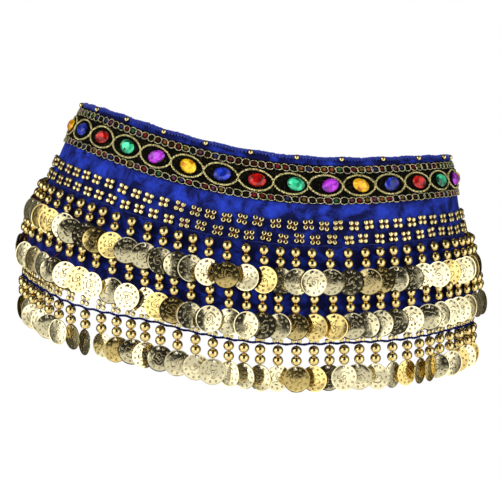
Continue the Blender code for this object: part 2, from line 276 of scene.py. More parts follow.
@dataclass(frozen=True)
class BraidFinish(Finish):
    """Black jacquard braid with a thread of dull gold in its ground.

    Woven flat: fine ribs across the braid, and coloured silk eyes inside the border
    rings. The ribs are drawn about twice as coarse as real, to show at all.
    """

    rib: float = 0.9 * MM
    fleck: float = 1.6 * MM
    ring_pitch: float = 6.2 * MM
    ring_rows: tuple[float, float] = (3.2 * MM, 27.2 * MM)
    eye: float = 1.9 * MM
    silks: tuple[str, ...] = (
        "#7A1C28", "#2E5C3A", "#8A4A26", "#1C1610", "#64304C", "#14110E",
        "#2A3058", "#5E1A1C", "#100E0C", "#6E5424", "#34140F",
    )
    silk_gain: float = 0.25
    depth: float = 0.18 * MM

    def build(self) -> bpy.types.Material:
        """Builds the braid from its cloth UV map.

        Returns:
            The material.
        """
        made, tree, shader = self.start()
        cloth = add_node(tree, "ShaderNodeUVMap", {"uv_map": "cloth"})
        along, down, _ = add_node(tree, "ShaderNodeSeparateXYZ", None, cloth).outputs
        turns = 2 * math.pi / self.rib
        ribs = []
        for way in (along, down):
            angle = add_node(tree, MATH, TIMES, way, turns)
            ribs.append(add_node(tree, MATH, {"operation": "SINE"}, angle))
        crossed = add_node(tree, MATH, TIMES, *ribs)
        weave = add_node(tree, RANGE, None, crossed, -1.0, 1.0)
        flecks = add_node(tree, NOISE, {"Scale": 1 / self.fleck, "Detail": 2.0}, cloth)
        gold = add_node(tree, RANGE, SOFT_STEP, flecks, 0.34, 0.44, 0.5, 0.0)
        ground = self.tint(tree, shader, add_node(tree, MATH, TIMES, gold, weave))
        cell = add_node(tree, MATH, TIMES, along, 1 / self.ring_pitch)
        number = add_node(tree, MATH, {"operation": "FLOOR"}, cell)
        share = add_node(tree, MATH, LESS, cell, number)
        across = add_node(tree, MATH, {"operation": "MULTIPLY_ADD"}, share, self.ring_pitch)
        across.inputs[2].default_value = -self.ring_pitch / 2
        colour = ground.outputs[2]
        for row, centre in enumerate(self.ring_rows):
            up = add_node(tree, MATH, LESS, down, centre)
            spot = add_node(tree, "ShaderNodeCombineXYZ", None, across, up)
            away = add_node(tree, "ShaderNodeVectorMath", {"operation": "LENGTH"}, spot)
            away = away.outputs["Value"]
            inside = add_node(tree, RANGE, SOFT_STEP, away, self.eye * 0.3, self.eye, 1.0, 0.0)
            thread = add_node(tree, MATH, PLUS | {"use_clamp": True}, weave, self.silk_gain)
            inside = add_node(tree, MATH, TIMES, inside, thread)
            draw = add_node(tree, MATH, PLUS, number, 0.37 + 91 * row)
            chance = add_node(tree, "ShaderNodeTexWhiteNoise", {"noise_dimensions": "1D", "W": draw})
            silk = add_node(tree, "ShaderNodeValToRGB", None, chance)
            silk.color_ramp.interpolation = "CONSTANT"
            stops = silk.color_ramp.elements
            for index, shade in enumerate(self.silks):
                stop = stops[index] if index < 2 else stops.new(index / len(self.silks))
                stop.position = index / len(self.silks)
                stop.color = linear(shade)
            mix = {"data_type": "RGBA", 6: colour, 7: silk}
            colour = add_node(tree, "ShaderNodeMix", mix, inside).outputs[2]
        tree.links.new(colour, shader.inputs["Base Color"])
        self.relief(tree, shader, weave)
        return made


@dataclass(frozen=True)
class LurexFinish(Finish):
    """Lurex: a flat gilt film wound round a thread, with painted glints in short bright dashes.

    The dashes are drawn about twice as long as real. The rings are worked with silks of
    many colours beside the film.
    """

    dash: float = 0.8 * MM
    silks: float = 0.0
    silk: float = 2.6 * MM
    depth: float = 0.15 * MM

    def build(self) -> bpy.types.Material:
        """Builds the lurex.

        Returns:
            The material.
        """
        made, tree, shader = self.start()
        place = add_node(tree, "ShaderNodeTexCoord")
        film = {"Scale": 1 / self.dash, "Detail": 1.0}
        dashes = add_node(tree, NOISE, film, place.outputs["Object"])
        # The bright dashes are painted glints on the duller gilt.
        gilt = self.tint(tree, shader, add_node(tree, RANGE, SOFT_STEP, dashes, 0.40, 0.62))
        lengths = {"Scale": 1 / self.silk}
        dyes = add_node(tree, "ShaderNodeTexVoronoi", lengths, place.outputs["Object"])
        worked = {"data_type": "RGBA", 6: gilt.outputs[2], 7: dyes.outputs["Color"]}
        mixed = add_node(tree, "ShaderNodeMix", worked, self.silks)
        tree.links.new(mixed.outputs[2], shader.inputs["Base Color"])
        self.relief(tree, shader, dashes)
        return made


@dataclass(frozen=True)
class PlatedFinish(Finish):
    """Vacuum-plated gold on moulded beads: a mirror with faint orange-peel waves."""

    wave: float = 2.5 * MM
    depth: float = 0.08 * MM

    def build(self) -> bpy.types.Material:
        """Builds the plating.

        Returns:
            The material.
        """
        made, tree, shader = self.start()
        place = add_node(tree, "ShaderNodeTexCoord")
        peel = {"Scale": 1 / self.wave, "Detail": 2.0}
        waves = add_node(tree, NOISE, peel, place.outputs["Object"])
        self.tint(tree, shader, waves)
        self.relief(tree, shader, waves, 0.4)
        return made


@dataclass(frozen=True)
class CoinFinish(Finish):
    """Thin steel stamped and washed in pale gold.

    The stamp gives a ring of dots under the rim and loose scrolls in the middle, all
    standing up from the field, with a little tarnish in the corners. Thin metal never
    stays flat: each coin is a little dished, tipped and waved, and that bends what it
    mirrors.
    """

    size: float = 21.02 * MM
    deep: str = "#E6CB80"
    dots: int = 11
    dot_ring: float = 7.8 * MM
    dot: float = 1.0 * MM
    centre_dot: float = 1.5 * MM
    arms: int = 3
    coil: float = 0.7 / MM
    scroll_end: float = 4.7 * MM
    wander: float = 9.0
    tarnish: float = 4.0
    dish: float = 1.0 * MM
    tip: float = 0.34
    wave: float = 11 * MM
    wave_depth: float = 0.7 * MM
    depth: float = 0.40 * MM

    def middle_scrolls(
        self,
        tree: bpy.types.NodeTree,
        face: bpy.types.Node,
        turn: bpy.types.Node,
        radius: bpy.types.NodeSocket,
    ) -> bpy.types.Node:
        """Draws the loose scrolls.

        Args:
            tree: The material's node tree.
            face: The coin's UV map.
            turn: The angle round the coin.
            radius: The distance from its middle.

        Returns:
            A node that gives 1 on the scrolls.
        """
        stray = add_node(tree, NOISE, {"Scale": 4.0, "Detail": 1.0}, face)
        bend = add_node(tree, MATH, TIMES, stray, self.wander)
        wound = add_node(tree, MATH, TIMES, radius, self.coil)
        arms = add_node(tree, MATH, {"operation": "MULTIPLY_ADD"}, turn, self.arms / 2, wound)
        swing = add_node(tree, MATH, {"operation": "SINE"}, add_node(tree, MATH, PLUS, arms, bend))
        swing = add_node(tree, MATH, {"operation": "ABSOLUTE"}, swing)
        scrolls = add_node(tree, RANGE, SOFT_STEP, swing, 0.20, 0.62, 1.0, 0.0)
        ends = add_node(tree, RANGE, SOFT_STEP, radius, self.scroll_end, self.scroll_end + MM, 1.0, 0.0)
        return add_node(tree, MATH, TIMES, scrolls, ends)

    def ring_of_dots(
        self, tree: bpy.types.NodeTree, turn: bpy.types.Node, radius: bpy.types.NodeSocket
    ) -> bpy.types.Node:
        """Draws the dots under the rim.

        Args:
            tree: The material's node tree.
            turn: The angle round the coin.
            radius: The distance from its middle.

        Returns:
            A node that gives 1 on the dots.
        """
        sector = add_node(tree, RANGE, None, turn, -math.pi, math.pi, 0.0, float(self.dots))
        share = add_node(tree, MATH, {"operation": "FRACT"}, sector)
        half = math.pi * self.dot_ring / self.dots
        sideways = add_node(tree, RANGE, None, share, 0.0, 1.0, -half, half)
        outwards = add_node(tree, MATH, LESS, radius, self.dot_ring)
        spot = add_node(tree, "ShaderNodeCombineXYZ", None, sideways, outwards)
        away = add_node(tree, "ShaderNodeVectorMath", {"operation": "LENGTH"}, spot)
        away = away.outputs["Value"]
        return add_node(tree, RANGE, SOFT_STEP, away, 0.3 * self.dot, self.dot, 1.0, 0.0)

    def build(self) -> bpy.types.Material:
        """Builds the coin from its own UV map: one unit square for each coin.

        Returns:
            The material.
        """
        made, tree, shader = self.start()
        face = add_node(tree, "ShaderNodeUVMap", {"uv_map": "coin"})
        whole = add_node(tree, "ShaderNodeVectorMath", {"operation": "FLOOR"}, face)
        place = add_node(tree, "ShaderNodeVectorMath", {"operation": "FRACTION"}, face)
        half = self.size / 2
        stretch = add_node(tree, "ShaderNodeMapping", {"Scale": [self.size] * 3}, place)
        stretch.inputs["Location"].default_value = (-half, -half, 0.0)
        x, y, _ = add_node(tree, "ShaderNodeSeparateXYZ", None, stretch).outputs
        radius = add_node(tree, "ShaderNodeVectorMath", {"operation": "LENGTH"}, stretch)
        radius = radius.outputs["Value"]
        turn = add_node(tree, MATH, {"operation": "ARCTAN2"}, y, x)
        scrolls = self.middle_scrolls(tree, face, turn, radius)
        centre = self.centre_dot
        boss = add_node(tree, RANGE, SOFT_STEP, radius, 0.4 * centre, centre, 1.0, 0.0)
        stamp = add_node(tree, MATH, MOST, scrolls, boss)
        stamp = add_node(tree, MATH, MOST, stamp, self.ring_of_dots(tree, turn, radius))
        field = add_node(tree, MATH, LESS, 1.0, stamp)
        edges = add_node(tree, MATH, TIMES, stamp, field)
        clean = add_node(tree, RANGE, None, edges, 0.0, 1 / self.tarnish, 1.0, 0.0)
        gilding = self.tint(tree, shader, clean)
        # The slow form: a dish, a tip of its own for each coin, and waves.
        dished = add_node(tree, MATH, TIMES, radius, self.dish**0.5 / half)
        dished = add_node(tree, MATH, TIMES, dished, dished)
        draw = add_node(tree, "ShaderNodeTexWhiteNoise", {"noise_dimensions": "2D"}, whole)
        # About a quarter of the coins took a deeper wash of gold.
        deeper = add_node(tree, RANGE, SOFT_STEP, draw.outputs["Value"], 0.70, 0.86)
        washes = {"data_type": "RGBA", 6: linear(self.light), 7: linear(self.deep)}
        wash = add_node(tree, "ShaderNodeMix", washes, deeper)
        tree.links.new(wash.outputs[2], gilding.inputs[7])
        tip = add_node(tree, "ShaderNodeVectorMath", LESS, draw.outputs["Color"], (0.5, 0.5, 0.5))
        tipped = add_node(tree, "ShaderNodeVectorMath", {"operation": "DOT_PRODUCT"}, tip, stretch)
        tipped = add_node(tree, MATH, TIMES, tipped.outputs["Value"], self.tip)
        waves = add_node(tree, NOISE, {"Scale": self.size / self.wave, "Detail": 1.0}, face)
        waves = add_node(tree, MATH, TIMES, waves, self.wave_depth)
        form = add_node(tree, MATH, LESS, add_node(tree, MATH, PLUS, tipped, waves), dished)
        slow = add_node(tree, "ShaderNodeBump", {"Distance": 1.0, "Height": form})
        struck = {"Distance": self.depth, "Height": stamp, "Normal": slow}
        fine = add_node(tree, "ShaderNodeBump", struck)
        tree.links.new(fine.outputs[0], shader.inputs["Normal"])
        return made


@dataclass(frozen=True)
class StoneFinish(Finish):
    """Faceted acrylic, foil backed: a clear skin over cells of painted flashes and painted shade."""

    cell: float = 3.2 * MM

    def build(self) -> bpy.types.Material:
        """Builds the stone.

        Returns:
            The material.
        """
        made, tree, shader = self.start()
        place = add_node(tree, "ShaderNodeTexCoord")
        facets = {"Scale": 1 / self.cell}
        cells = add_node(tree, "ShaderNodeTexVoronoi", facets, place.outputs["Object"])
        flash = add_node(tree, "ShaderNodeSeparateXYZ", None, cells.outputs["Color"])
        # The cells are painted light or dark: painted flashes and painted shade of the foil.
        self.tint(tree, shader, flash)
        shader.inputs["Coat Roughness"].default_value = 0.03
        shader.inputs["IOR"].default_value = 1.49
        return made


# Deep blue with paler crushed tufts, partly painted sheen, and painted shade near black in the
# hollows; painted light below the braid and under the coins; no hard highlight.
VELVET = VelvetFinish(
    "royal_blue_crushed_velvet",
    "velvet",
    dark="#050830",
    light="#1C3098",
    roughness=0.8,
    sheen=0.25,
    sheen_colour="#4868F0",
    gloss=0.15,
)
# The knitted polyester that carries the pile, seen inside: matt, even and a little dull.
LINING = Finish(
    "knitted_velvet_ground", "velvet", "#0E1648", "#1C2C78", roughness=0.9, sheen=0.1, gloss=0.15
)
# Crocheted cotton: a lighter blue line along the top, soft and slightly fuzzy.
CROCHET = Finish(
    "blue_crochet_cotton", "velvet", "#121858", "#3040A0", roughness=0.75, sheen=0.2, gloss=0.15
)
# Spun polyester: the dark line that carries the free row, without any shine.
DARK_THREAD = Finish(
    "dark_blue_stringing_thread", "velvet", "#04062A", "#121A5C", roughness=0.8, gloss=0.05
)
# Spun polyester: a brown speck in the holes of the small beads and between them.
RUST_THREAD = Finish(
    "rust_polyester_thread", "gilt", "#2C0C0A", "#5E2816", roughness=0.6, gloss=0.2
)
# Woven rayon: a black ground that lets the gold and the stones stand out.
BRAID = BraidFinish(
    "black_jacquard_braid", "braid", "#040403", "#4A4228", roughness=0.8, gloss=0.04
)
# Film wound round a cord: pale gold lines with short bright dashes, which are painted glints.
LUREX = LurexFinish(
    "pale_gold_lurex_cord", "braid", "#5E5628", "#F2E6A2", roughness=0.4, metallic=0.5
)
# The same film worked with dyed silks, with the same painted glints: thinner, duller, and flecked with
# colours.
OLD_LUREX = LurexFinish(
    "gold_lurex_and_silk_rings",
    "braid",
    dark="#4A4022",
    light="#F6EAAA",
    roughness=0.42,
    metallic=0.4,
    silks=0.15,
)
# Metal film on acrylic: yellow mirrors, almost white above and dark where the gap shows.
PLATING = PlatedFinish(
    "vacuum_plated_gold_beads",
    "gilt",
    dark="#DCB754",
    light="#FBECB4",
    roughness=0.12,
    metallic=1.0,
    rim="#75662C",
)
# The same film, thinner, on the small beads: a paler gold.
SEED_PLATING = replace(PLATING, name="pale_plated_seed_beads", dark="#DFC46E", light="#FDEFB8")
# Gold-washed steel: pale mirrors that flash or go dark as each coin is tipped.
COIN = CoinFinish(
    "pale_gold_washed_coins",
    "gilt",
    dark="#3E3010",
    light="#F4E8BA",
    roughness=0.15,
    metallic=1.0,
    rim="#8E7C44",
)


class Stone(Enum):
    """The stones' colours in the order they follow each other: dark is painted shade, light painted
    flashes.
    """

    RUBY = ("ruby", "#4C0305", "#D01812")
    EMERALD = ("emerald", "#023420", "#3EDCA0")
    AMETHYST = ("amethyst", "#440868", "#C634E4")
    AMBER = ("amber", "#AE5E02", "#FFD61C")
    SAPPHIRE = ("sapphire", "#060C48", "#2640D0")

    @property
    def finish(self) -> StoneFinish:
        """The stone's finish."""
        word, dark, light = self.value
        return StoneFinish(
            f"{word}_acrylic", word, dark, light, roughness=0.12, metallic=0.35, coat=0.6
        )


# Form of the cloth


def ease(share: float) -> float:
    """0 to 1 with flat ends."""
    share = min(max(share, 0.0), 1.0)
    return share * share * (3 - 2 * share)


@dataclass(frozen=True)
class Fold:
    """A soft fold: its middle, its half sizes and how far it stands out."""

    angle: float
    width: float
    out: float
    drop: float
    height: float


@dataclass(frozen=True)
class Shift:
    """Where rows ride up or sag on a hip: the side, -1 for the right one, and how far."""

    side: int
    up: float
    drop: float
    height: float


@dataclass(frozen=True)
class HipForm:
    """The worn form that every piece follows: the same sizes as in the CAD model."""

    half_width: float = 0.189
    half_depth: float = 0.118
    widest_level: float = -0.097
    width_loss: float = 2.0
    depth_loss: float = 1.4
    seat_fullness: float = 0.08
    front_top: float = 0.019
    askew: float = 0.0266
    askew_flatter_below: float = 0.0424
    askew_at_sides: float = 0.0043
    askew_at_sides_below: float = 0.0437
    hip_rise: float = 0.0310
    hip_rise_more_below: float = 0.0499
    hip_rise_eased: float = 0.0119
    hip_rise_eased_below: float = 0.0095
    back_dip: float = 0.0035
    back_full_at: float = 0.6
    right_droop: float = 0.0100
    left_droop: float = 0.0035
    droop_from: float = 0.33
    droop_full: float = 0.80
    droop_top: float = 0.122
    droop_bottom: float = 0.141
    shifts: tuple[Shift, ...] = (
        Shift(-1, 0.0046, 0.118, 0.017),
        Shift(1, 0.0020, 0.118, 0.017),
        Shift(1, -0.0024, 0.088, 0.016),
    )
    wall: float = 1.6 * MM
    hem_drop: float = 0.132
    back_shorter: float = 0.019
    panel_end: float = math.radians(170)
    fringe_end: float = math.radians(150)
    end_drop: float = 0.046
    band_top: float = 0.0036
    band_middle: float = 0.0190
    band_bottom: float = 0.0336
    upper_chain: float = 0.0648
    middle_chain: float = 0.1000
    lower_chain: float = 0.1411
    dangles: int = 60
    folds: tuple[Fold, ...] = (
        Fold(-128, 15, -1.4 * MM, 0.140, 0.050),
        Fold(-104, 11, 1.3 * MM, 0.140, 0.045),
        Fold(-76, 12, -1.3 * MM, 0.140, 0.050),
        Fold(-47, 10, 1.2 * MM, 0.140, 0.045),
        Fold(-24, 9, -1.5 * MM, 0.140, 0.055),
        Fold(-4, 10, 1.3 * MM, 0.140, 0.040),
        Fold(17, 8, -1.2 * MM, 0.140, 0.050),
        Fold(36, 9, 1.5 * MM, 0.140, 0.045),
        Fold(58, 10, -1.4 * MM, 0.140, 0.055),
        Fold(83, 12, 1.2 * MM, 0.140, 0.045),
        Fold(109, 13, -1.3 * MM, 0.140, 0.050),
        Fold(134, 14, 1.4 * MM, 0.140, 0.045),
        Fold(-92, 32, 4.5 * MM, 0.150, 0.045),
        Fold(90, 32, 4.0 * MM, 0.000, 0.040),
        Fold(-92, 32, -3.5 * MM, 0.050, 0.050),
        Fold(90, 32, -5.0 * MM, 0.055, 0.045),
    )

    def back_share(self, angle: float) -> float:
        """0 on the front half, rising smoothly to 1 across the back."""
        return ease(-math.cos(angle) / self.back_full_at)

    def level(self, angle: float, drop: float) -> float:
        """Finds the height of a place on the scarf.

        Args:
            angle: Where round the figure.
            drop: How far below the top edge.

        Returns:
            The height.
        """
        s = math.sin(angle)
        back = self.back_share(angle)
        askew = (self.askew - self.askew_flatter_below * drop) * s
        askew -= (self.askew_at_sides - self.askew_at_sides_below * drop) * s**3
        rise = (self.hip_rise + self.hip_rise_more_below * drop) * s**2
        rise -= (self.hip_rise_eased - self.hip_rise_eased_below * drop) * s**4
        below_band = (drop - self.band_bottom) / (self.upper_chain - self.band_bottom)
        shorter = self.back_shorter * back * ease(below_band)
        droop = (self.right_droop if s < 0 else self.left_droop) * (1 - back)
        droop *= ease((abs(s) - self.droop_from) / (self.droop_full - self.droop_from))
        droop *= ease((drop - self.droop_top) / (self.droop_bottom - self.droop_top))
        top = self.front_top - askew + rise - self.back_dip * back
        height = top - drop + shorter - droop
        for each in self.shifts:
            away = (drop - each.drop) / each.height
            height += each.up * ease(each.side * s) * math.exp(-away * away)
        return height

    def fold(self, angle: float, drop: float) -> float:
        """Adds up how far the folds move the cloth outwards.

        Args:
            angle: Where round the figure.
            drop: How far below the top edge.

        Returns:
            The distance, negative where a fold sinks.
        """
        out = 0.0
        for each in self.folds:
            across = (math.degrees(angle) - each.angle) / each.width
            down = (drop - each.drop) / each.height
            out += each.out * math.exp(-across * across - down * down)
        return out

    def half_sizes(self, angle: float, z: float) -> tuple[float, float]:
        """The half width and half depth of the figure at a height."""
        above = (z - self.widest_level) ** 2
        seat = 1 + self.seat_fullness * self.back_share(angle)
        depth = (self.half_depth - self.depth_loss * above) * seat
        return self.half_width - self.width_loss * above, depth

    def outward(self, angle: float, z: float) -> Vector:
        """The horizontal direction away from the figure."""
        a, b = self.half_sizes(angle, z)
        return Vector((b * math.sin(angle), -a * math.cos(angle), 0)).normalized()

    def facing(self, angle: float, drop: float) -> Vector:
        """The horizontal direction away from the figure at a drop."""
        return self.outward(angle, self.level(angle, drop))

    def point(self, angle: float, drop: float, out: float = 0.0) -> Vector:
        """Finds a point on the velvet's outer face, or out metres beyond it.

        Args:
            angle: Where round the figure.
            drop: How far below the top edge.
            out: How far out from the cloth.

        Returns:
            The point.
        """
        z = self.level(angle, drop)
        a, b = self.half_sizes(angle, z)
        on_figure = Vector((a * math.sin(angle), -b * math.cos(angle), z))
        return on_figure + self.outward(angle, z) * (out + self.fold(angle, drop))

    def axes(self, angle: float, drop: float, out: float = 0.0) -> Matrix:
        """Lays a frame on the cloth: along it, up it and out of it.

        Args:
            angle: Where round the figure.
            drop: How far below the top edge.
            out: How far out from the cloth.

        Returns:
            The frame.
        """
        step = 0.002
        origin = self.point(angle, drop, out)
        along = self.point(angle + step, drop, out) - self.point(angle - step, drop, out)
        along.normalize()
        up = self.point(angle, drop - step, out) - self.point(angle, drop + step, out)
        out_of = along.cross(up).normalized()
        axes = Matrix((along, out_of.cross(along), out_of)).transposed().to_4x4()
        axes.translation = origin
        return axes

    def hem_share(self, angle: float) -> float:
        """How much of the panel's height is left where its ends are cut away."""
        cut = ease((abs(angle) - self.fringe_end) / (self.panel_end - self.fringe_end))
        return 1 - cut * (1 - self.end_drop / self.hem_drop)

    def cut_drop(self, angle: float, drop: float) -> float:
        """Moves a drop up where the panel's ends are cut away.

        Args:
            angle: Where round the figure.
            drop: The drop on the uncut panel.

        Returns:
            The drop on the cut one.
        """
        if drop <= self.band_bottom:
            return drop
        left = self.hem_drop * self.hem_share(angle) - self.band_bottom
        return self.band_bottom + (drop - self.band_bottom) * left / (
            self.hem_drop - self.band_bottom
        )


@dataclass
class Ruler:
    """Distances along the scarf at one drop, measured from the front."""

    form: HipForm
    drop: float
    steps: int = 1440
    angles: np.ndarray = field(init=False)
    along: np.ndarray = field(init=False)

    def __post_init__(self) -> None:
        """Measures the row."""
        end = self.form.panel_end
        self.angles = np.linspace(-end, end, self.steps + 1)
        points = np.array([self.form.point(float(a), self.drop) for a in self.angles])
        lengths = np.linalg.norm(np.diff(points, axis=0), axis=1)
        along = np.concatenate([[0], np.cumsum(lengths)])
        self.along = along - np.interp(0.0, self.angles, along)

    @property
    def ends(self) -> tuple[float, float]:
        """The distances along of the row's two ends."""
        return float(self.along[0]), float(self.along[-1])

    def angle_at(self, along: float) -> float:
        """The angle at a distance along."""
        return float(np.interp(along, self.along, self.angles))

    def along_at(self, angle: float) -> float:
        """The distance along at an angle."""
        return float(np.interp(angle, self.angles, self.along))

    def spaced(self, pitch: float, first: float, end_angle: float) -> list[float]:
        """Finds evenly spaced places.

        Args:
            pitch: The distance from one to the next.
            first: One of the places, as a distance along.
            end_angle: The places stay within this angle on both sides.

        Returns:
            Their distances along, from -X round to +X.
        """
        low, high = self.along_at(-end_angle), self.along_at(end_angle)
        start = math.ceil((low - first) / pitch)
        stop = math.floor((high - first) / pitch)
        return [first + n * pitch for n in range(start, stop + 1)]


# Mesh tools

# Points in a turn of a twisted cord, and how far its strands' middles lie from the line
# that they wind round, as a share of a strand's radius.
STEPS_PER_TURN = 6
STRANDS_PRESSED = 0.9


class Workshop:
    """Turns meshes into finished pieces, and keeps the materials."""

    def __init__(self) -> None:
        """Starts with no materials."""
        self.materials: dict[str, bpy.types.Material] = {}
        self.made: list[bpy.types.Object] = []

    def material(self, finish: Finish) -> bpy.types.Material:
        """The material of a finish, made on first use."""
        if finish.name not in self.materials:
            self.materials[finish.name] = finish.build()
        return self.materials[finish.name]

    def piece(
        self,
        name: str,
        mesh: bmesh.types.BMesh | bpy.types.Mesh,
        finishes: Sequence[Finish],
        replaces: Sequence[str] = (),
        smooth: bool = True,
    ) -> bpy.types.Object:
        """Makes a piece of the object.

        Args:
            name: The piece's name.
            mesh: Its shape, in place.
            finishes: Its finishes, in the order of its material slots.
            replaces: The CAD nodes that it stands for.
            smooth: Whether it is shaded smooth.

        Returns:
            The new object.
        """
        if isinstance(mesh, bmesh.types.BMesh):
            data = bpy.data.meshes.new(name)
            mesh.to_mesh(data)
            mesh.free()
        else:
            data = mesh
            data.name = name
        made = bpy.data.objects.new(name, data)
        bpy.context.scene.collection.objects.link(made)
        data.materials.clear()
        for finish in finishes:
            data.materials.append(self.material(finish))
        if smooth:
            data.shade_smooth()
        else:
            data.shade_flat()
        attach(made, ROOT)
        if replaces:
            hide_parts(*replaces)
        self.made.append(made)
        LOG.info("%s: %d faces", name, len(data.polygons))
        return made

    def cloth(
        self,
        name: str,
        node: str,
        sheet: bmesh.types.BMesh,
        wall: float,
        finishes: Sequence[Finish] = (VELVET, LINING),
        inwards: bool = True,
    ) -> bpy.types.Object:
        """Makes a piece of cloth and gives it its wall.

        Args:
            name: The piece's name.
            node: The CAD node that it stands for.
            sheet: One face of the cloth.
            wall: The cloth's thickness.
            finishes: The face's finish, and the other face's where it differs.
            inwards: Whether the wall grows away from the front of the sheet.

        Returns:
            The new object.
        """
        made = self.piece(name, sheet, finishes, (node,))
        solid = made.modifiers.new("Wall", "SOLIDIFY")
        solid.thickness = wall
        solid.offset = -1 if inwards else 1
        solid.material_offset = len(finishes) - 1
        return made

    def threads(
        self,
        name: str,
        paths: Iterable[Sequence[Vector]],
        radius: float,
        finish: Finish,
        closed: bool = False,
    ) -> bpy.types.Object:
        """Makes a piece of threads, each with four sides, which is enough at their size.

        Args:
            name: The piece's name.
            paths: The points of each thread.
            radius: The threads' radius.
            finish: Their finish.
            closed: Whether each thread is a loop.

        Returns:
            The new object.
        """
        curve = bpy.data.curves.new(name, "CURVE")
        curve.dimensions = "3D"
        curve.bevel_depth = radius
        curve.bevel_resolution = 0
        curve.use_fill_caps = True
        for path in paths:
            spline = curve.splines.new("POLY")
            spline.points.add(len(path) - 1)
            spline.points.foreach_set("co", [c for p in path for c in (*p, 1.0)])
            spline.use_cyclic_u = closed
        holder = bpy.data.objects.new(name, curve)
        mesh = bpy.data.meshes.new_from_object(holder)
        bpy.data.objects.remove(holder)
        bpy.data.curves.remove(curve)
        return self.piece(name, mesh, (finish,))


def cloth_grid(
    columns: int,
    rows: int,
    place: Callable[[float, float], Vector],
    measure: Callable[[float, float], tuple[float, float]],
) -> bmesh.types.BMesh:
    """Makes a sheet from a grid.

    Args:
        columns: Cells along.
        rows: Cells down.
        place: Gives the point at a share along and a share down.
        measure: Gives the cloth UV there, in metres along and down.

    Returns:
        The sheet, with its UV map named cloth.
    """
    bm = bmesh.new()
    bmesh.ops.create_grid(bm, x_segments=columns, y_segments=rows, size=1.0)
    uv = bm.loops.layers.uv.new("cloth")
    shares = {v: ((v.co.x + 1) / 2, (1 - v.co.y) / 2) for v in bm.verts}
    marks = {v: measure(*share) for v, share in shares.items()}
    for face in bm.faces:
        for loop in face.loops:
            loop[uv].uv = marks[loop.vert]
    for v, share in shares.items():
        v.co = place(*share)
    return bm


def twisted(
    ruler: Ruler,
    drop: float,
    centre: Callable[[float], Vector],
    ends: tuple[float, float],
    strand: float,
    pitch: float,
) -> list[list[Vector]]:
    """Winds two strands round a line.

    Args:
        ruler: What measures the line's distances along.
        drop: Where the cloth is taken, to find the direction away from it.
        centre: Gives the line's point at a distance along.
        ends: The first and last distance.
        strand: A strand's radius.
        pitch: The length of a full turn.

    Returns:
        The strands' paths.
    """
    first, last = ends
    count = max(2, round((last - first) / pitch * STEPS_PER_TURN))
    stations = [first + (last - first) * i / count for i in range(count + 1)]
    middles = [centre(along) for along in stations]
    paths: list[list[Vector]] = [[], []]
    for i, along in enumerate(stations):
        tangent = middles[min(i + 1, count)] - middles[max(i - 1, 0)]
        out = ruler.form.facing(ruler.angle_at(along), drop)
        side = tangent.cross(out).normalized()
        for k, path in enumerate(paths):
            turn = 2 * math.pi * ((along - first) / pitch + k / len(paths))
            away = out * math.cos(turn) + side * math.sin(turn)
            path.append(middles[i] + away * strand * STRANDS_PRESSED)
    return paths


class Stamp:
    """A small shape that is repeated."""

    def __init__(self, template: bmesh.types.BMesh) -> None:
        """Keeps the template as a mesh.

        Args:
            template: The shape at the origin.
        """
        self.mesh = bpy.data.meshes.new("stamp")
        template.to_mesh(self.mesh)
        template.free()
        self.target = bmesh.new()

    def put(self, matrix: Matrix) -> list[bmesh.types.BMFace]:
        """Puts one more copy in place.

        Args:
            matrix: Its place.

        Returns:
            The copy's faces.
        """
        verts, faces = len(self.target.verts), len(self.target.faces)
        self.target.from_mesh(self.mesh)
        self.target.verts.ensure_lookup_table()
        self.target.faces.ensure_lookup_table()
        bmesh.ops.transform(self.target, matrix=matrix, verts=self.target.verts[verts:])
        return self.target.faces[faces:]

    def finish(self) -> bmesh.types.BMesh:
        """Gives all the copies and drops the template."""
        bpy.data.meshes.remove(self.mesh)
        return self.target


def bead_shape(radius: float, around: int, down: int) -> bmesh.types.BMesh:
    """Makes a round bead.

    Args:
        radius: Its radius.
        around: Its sides.
        down: Its rings.

    Returns:
        The bead at the origin, its hole upright.
    """
    bm = bmesh.new()
    bmesh.ops.create_uvsphere(bm, u_segments=around, v_segments=down, radius=radius)
    return bm


# The pieces


@dataclass
class Part:
    """A part of the scarf: the form that it follows and what makes its pieces."""

    form: HipForm
    shop: Workshop


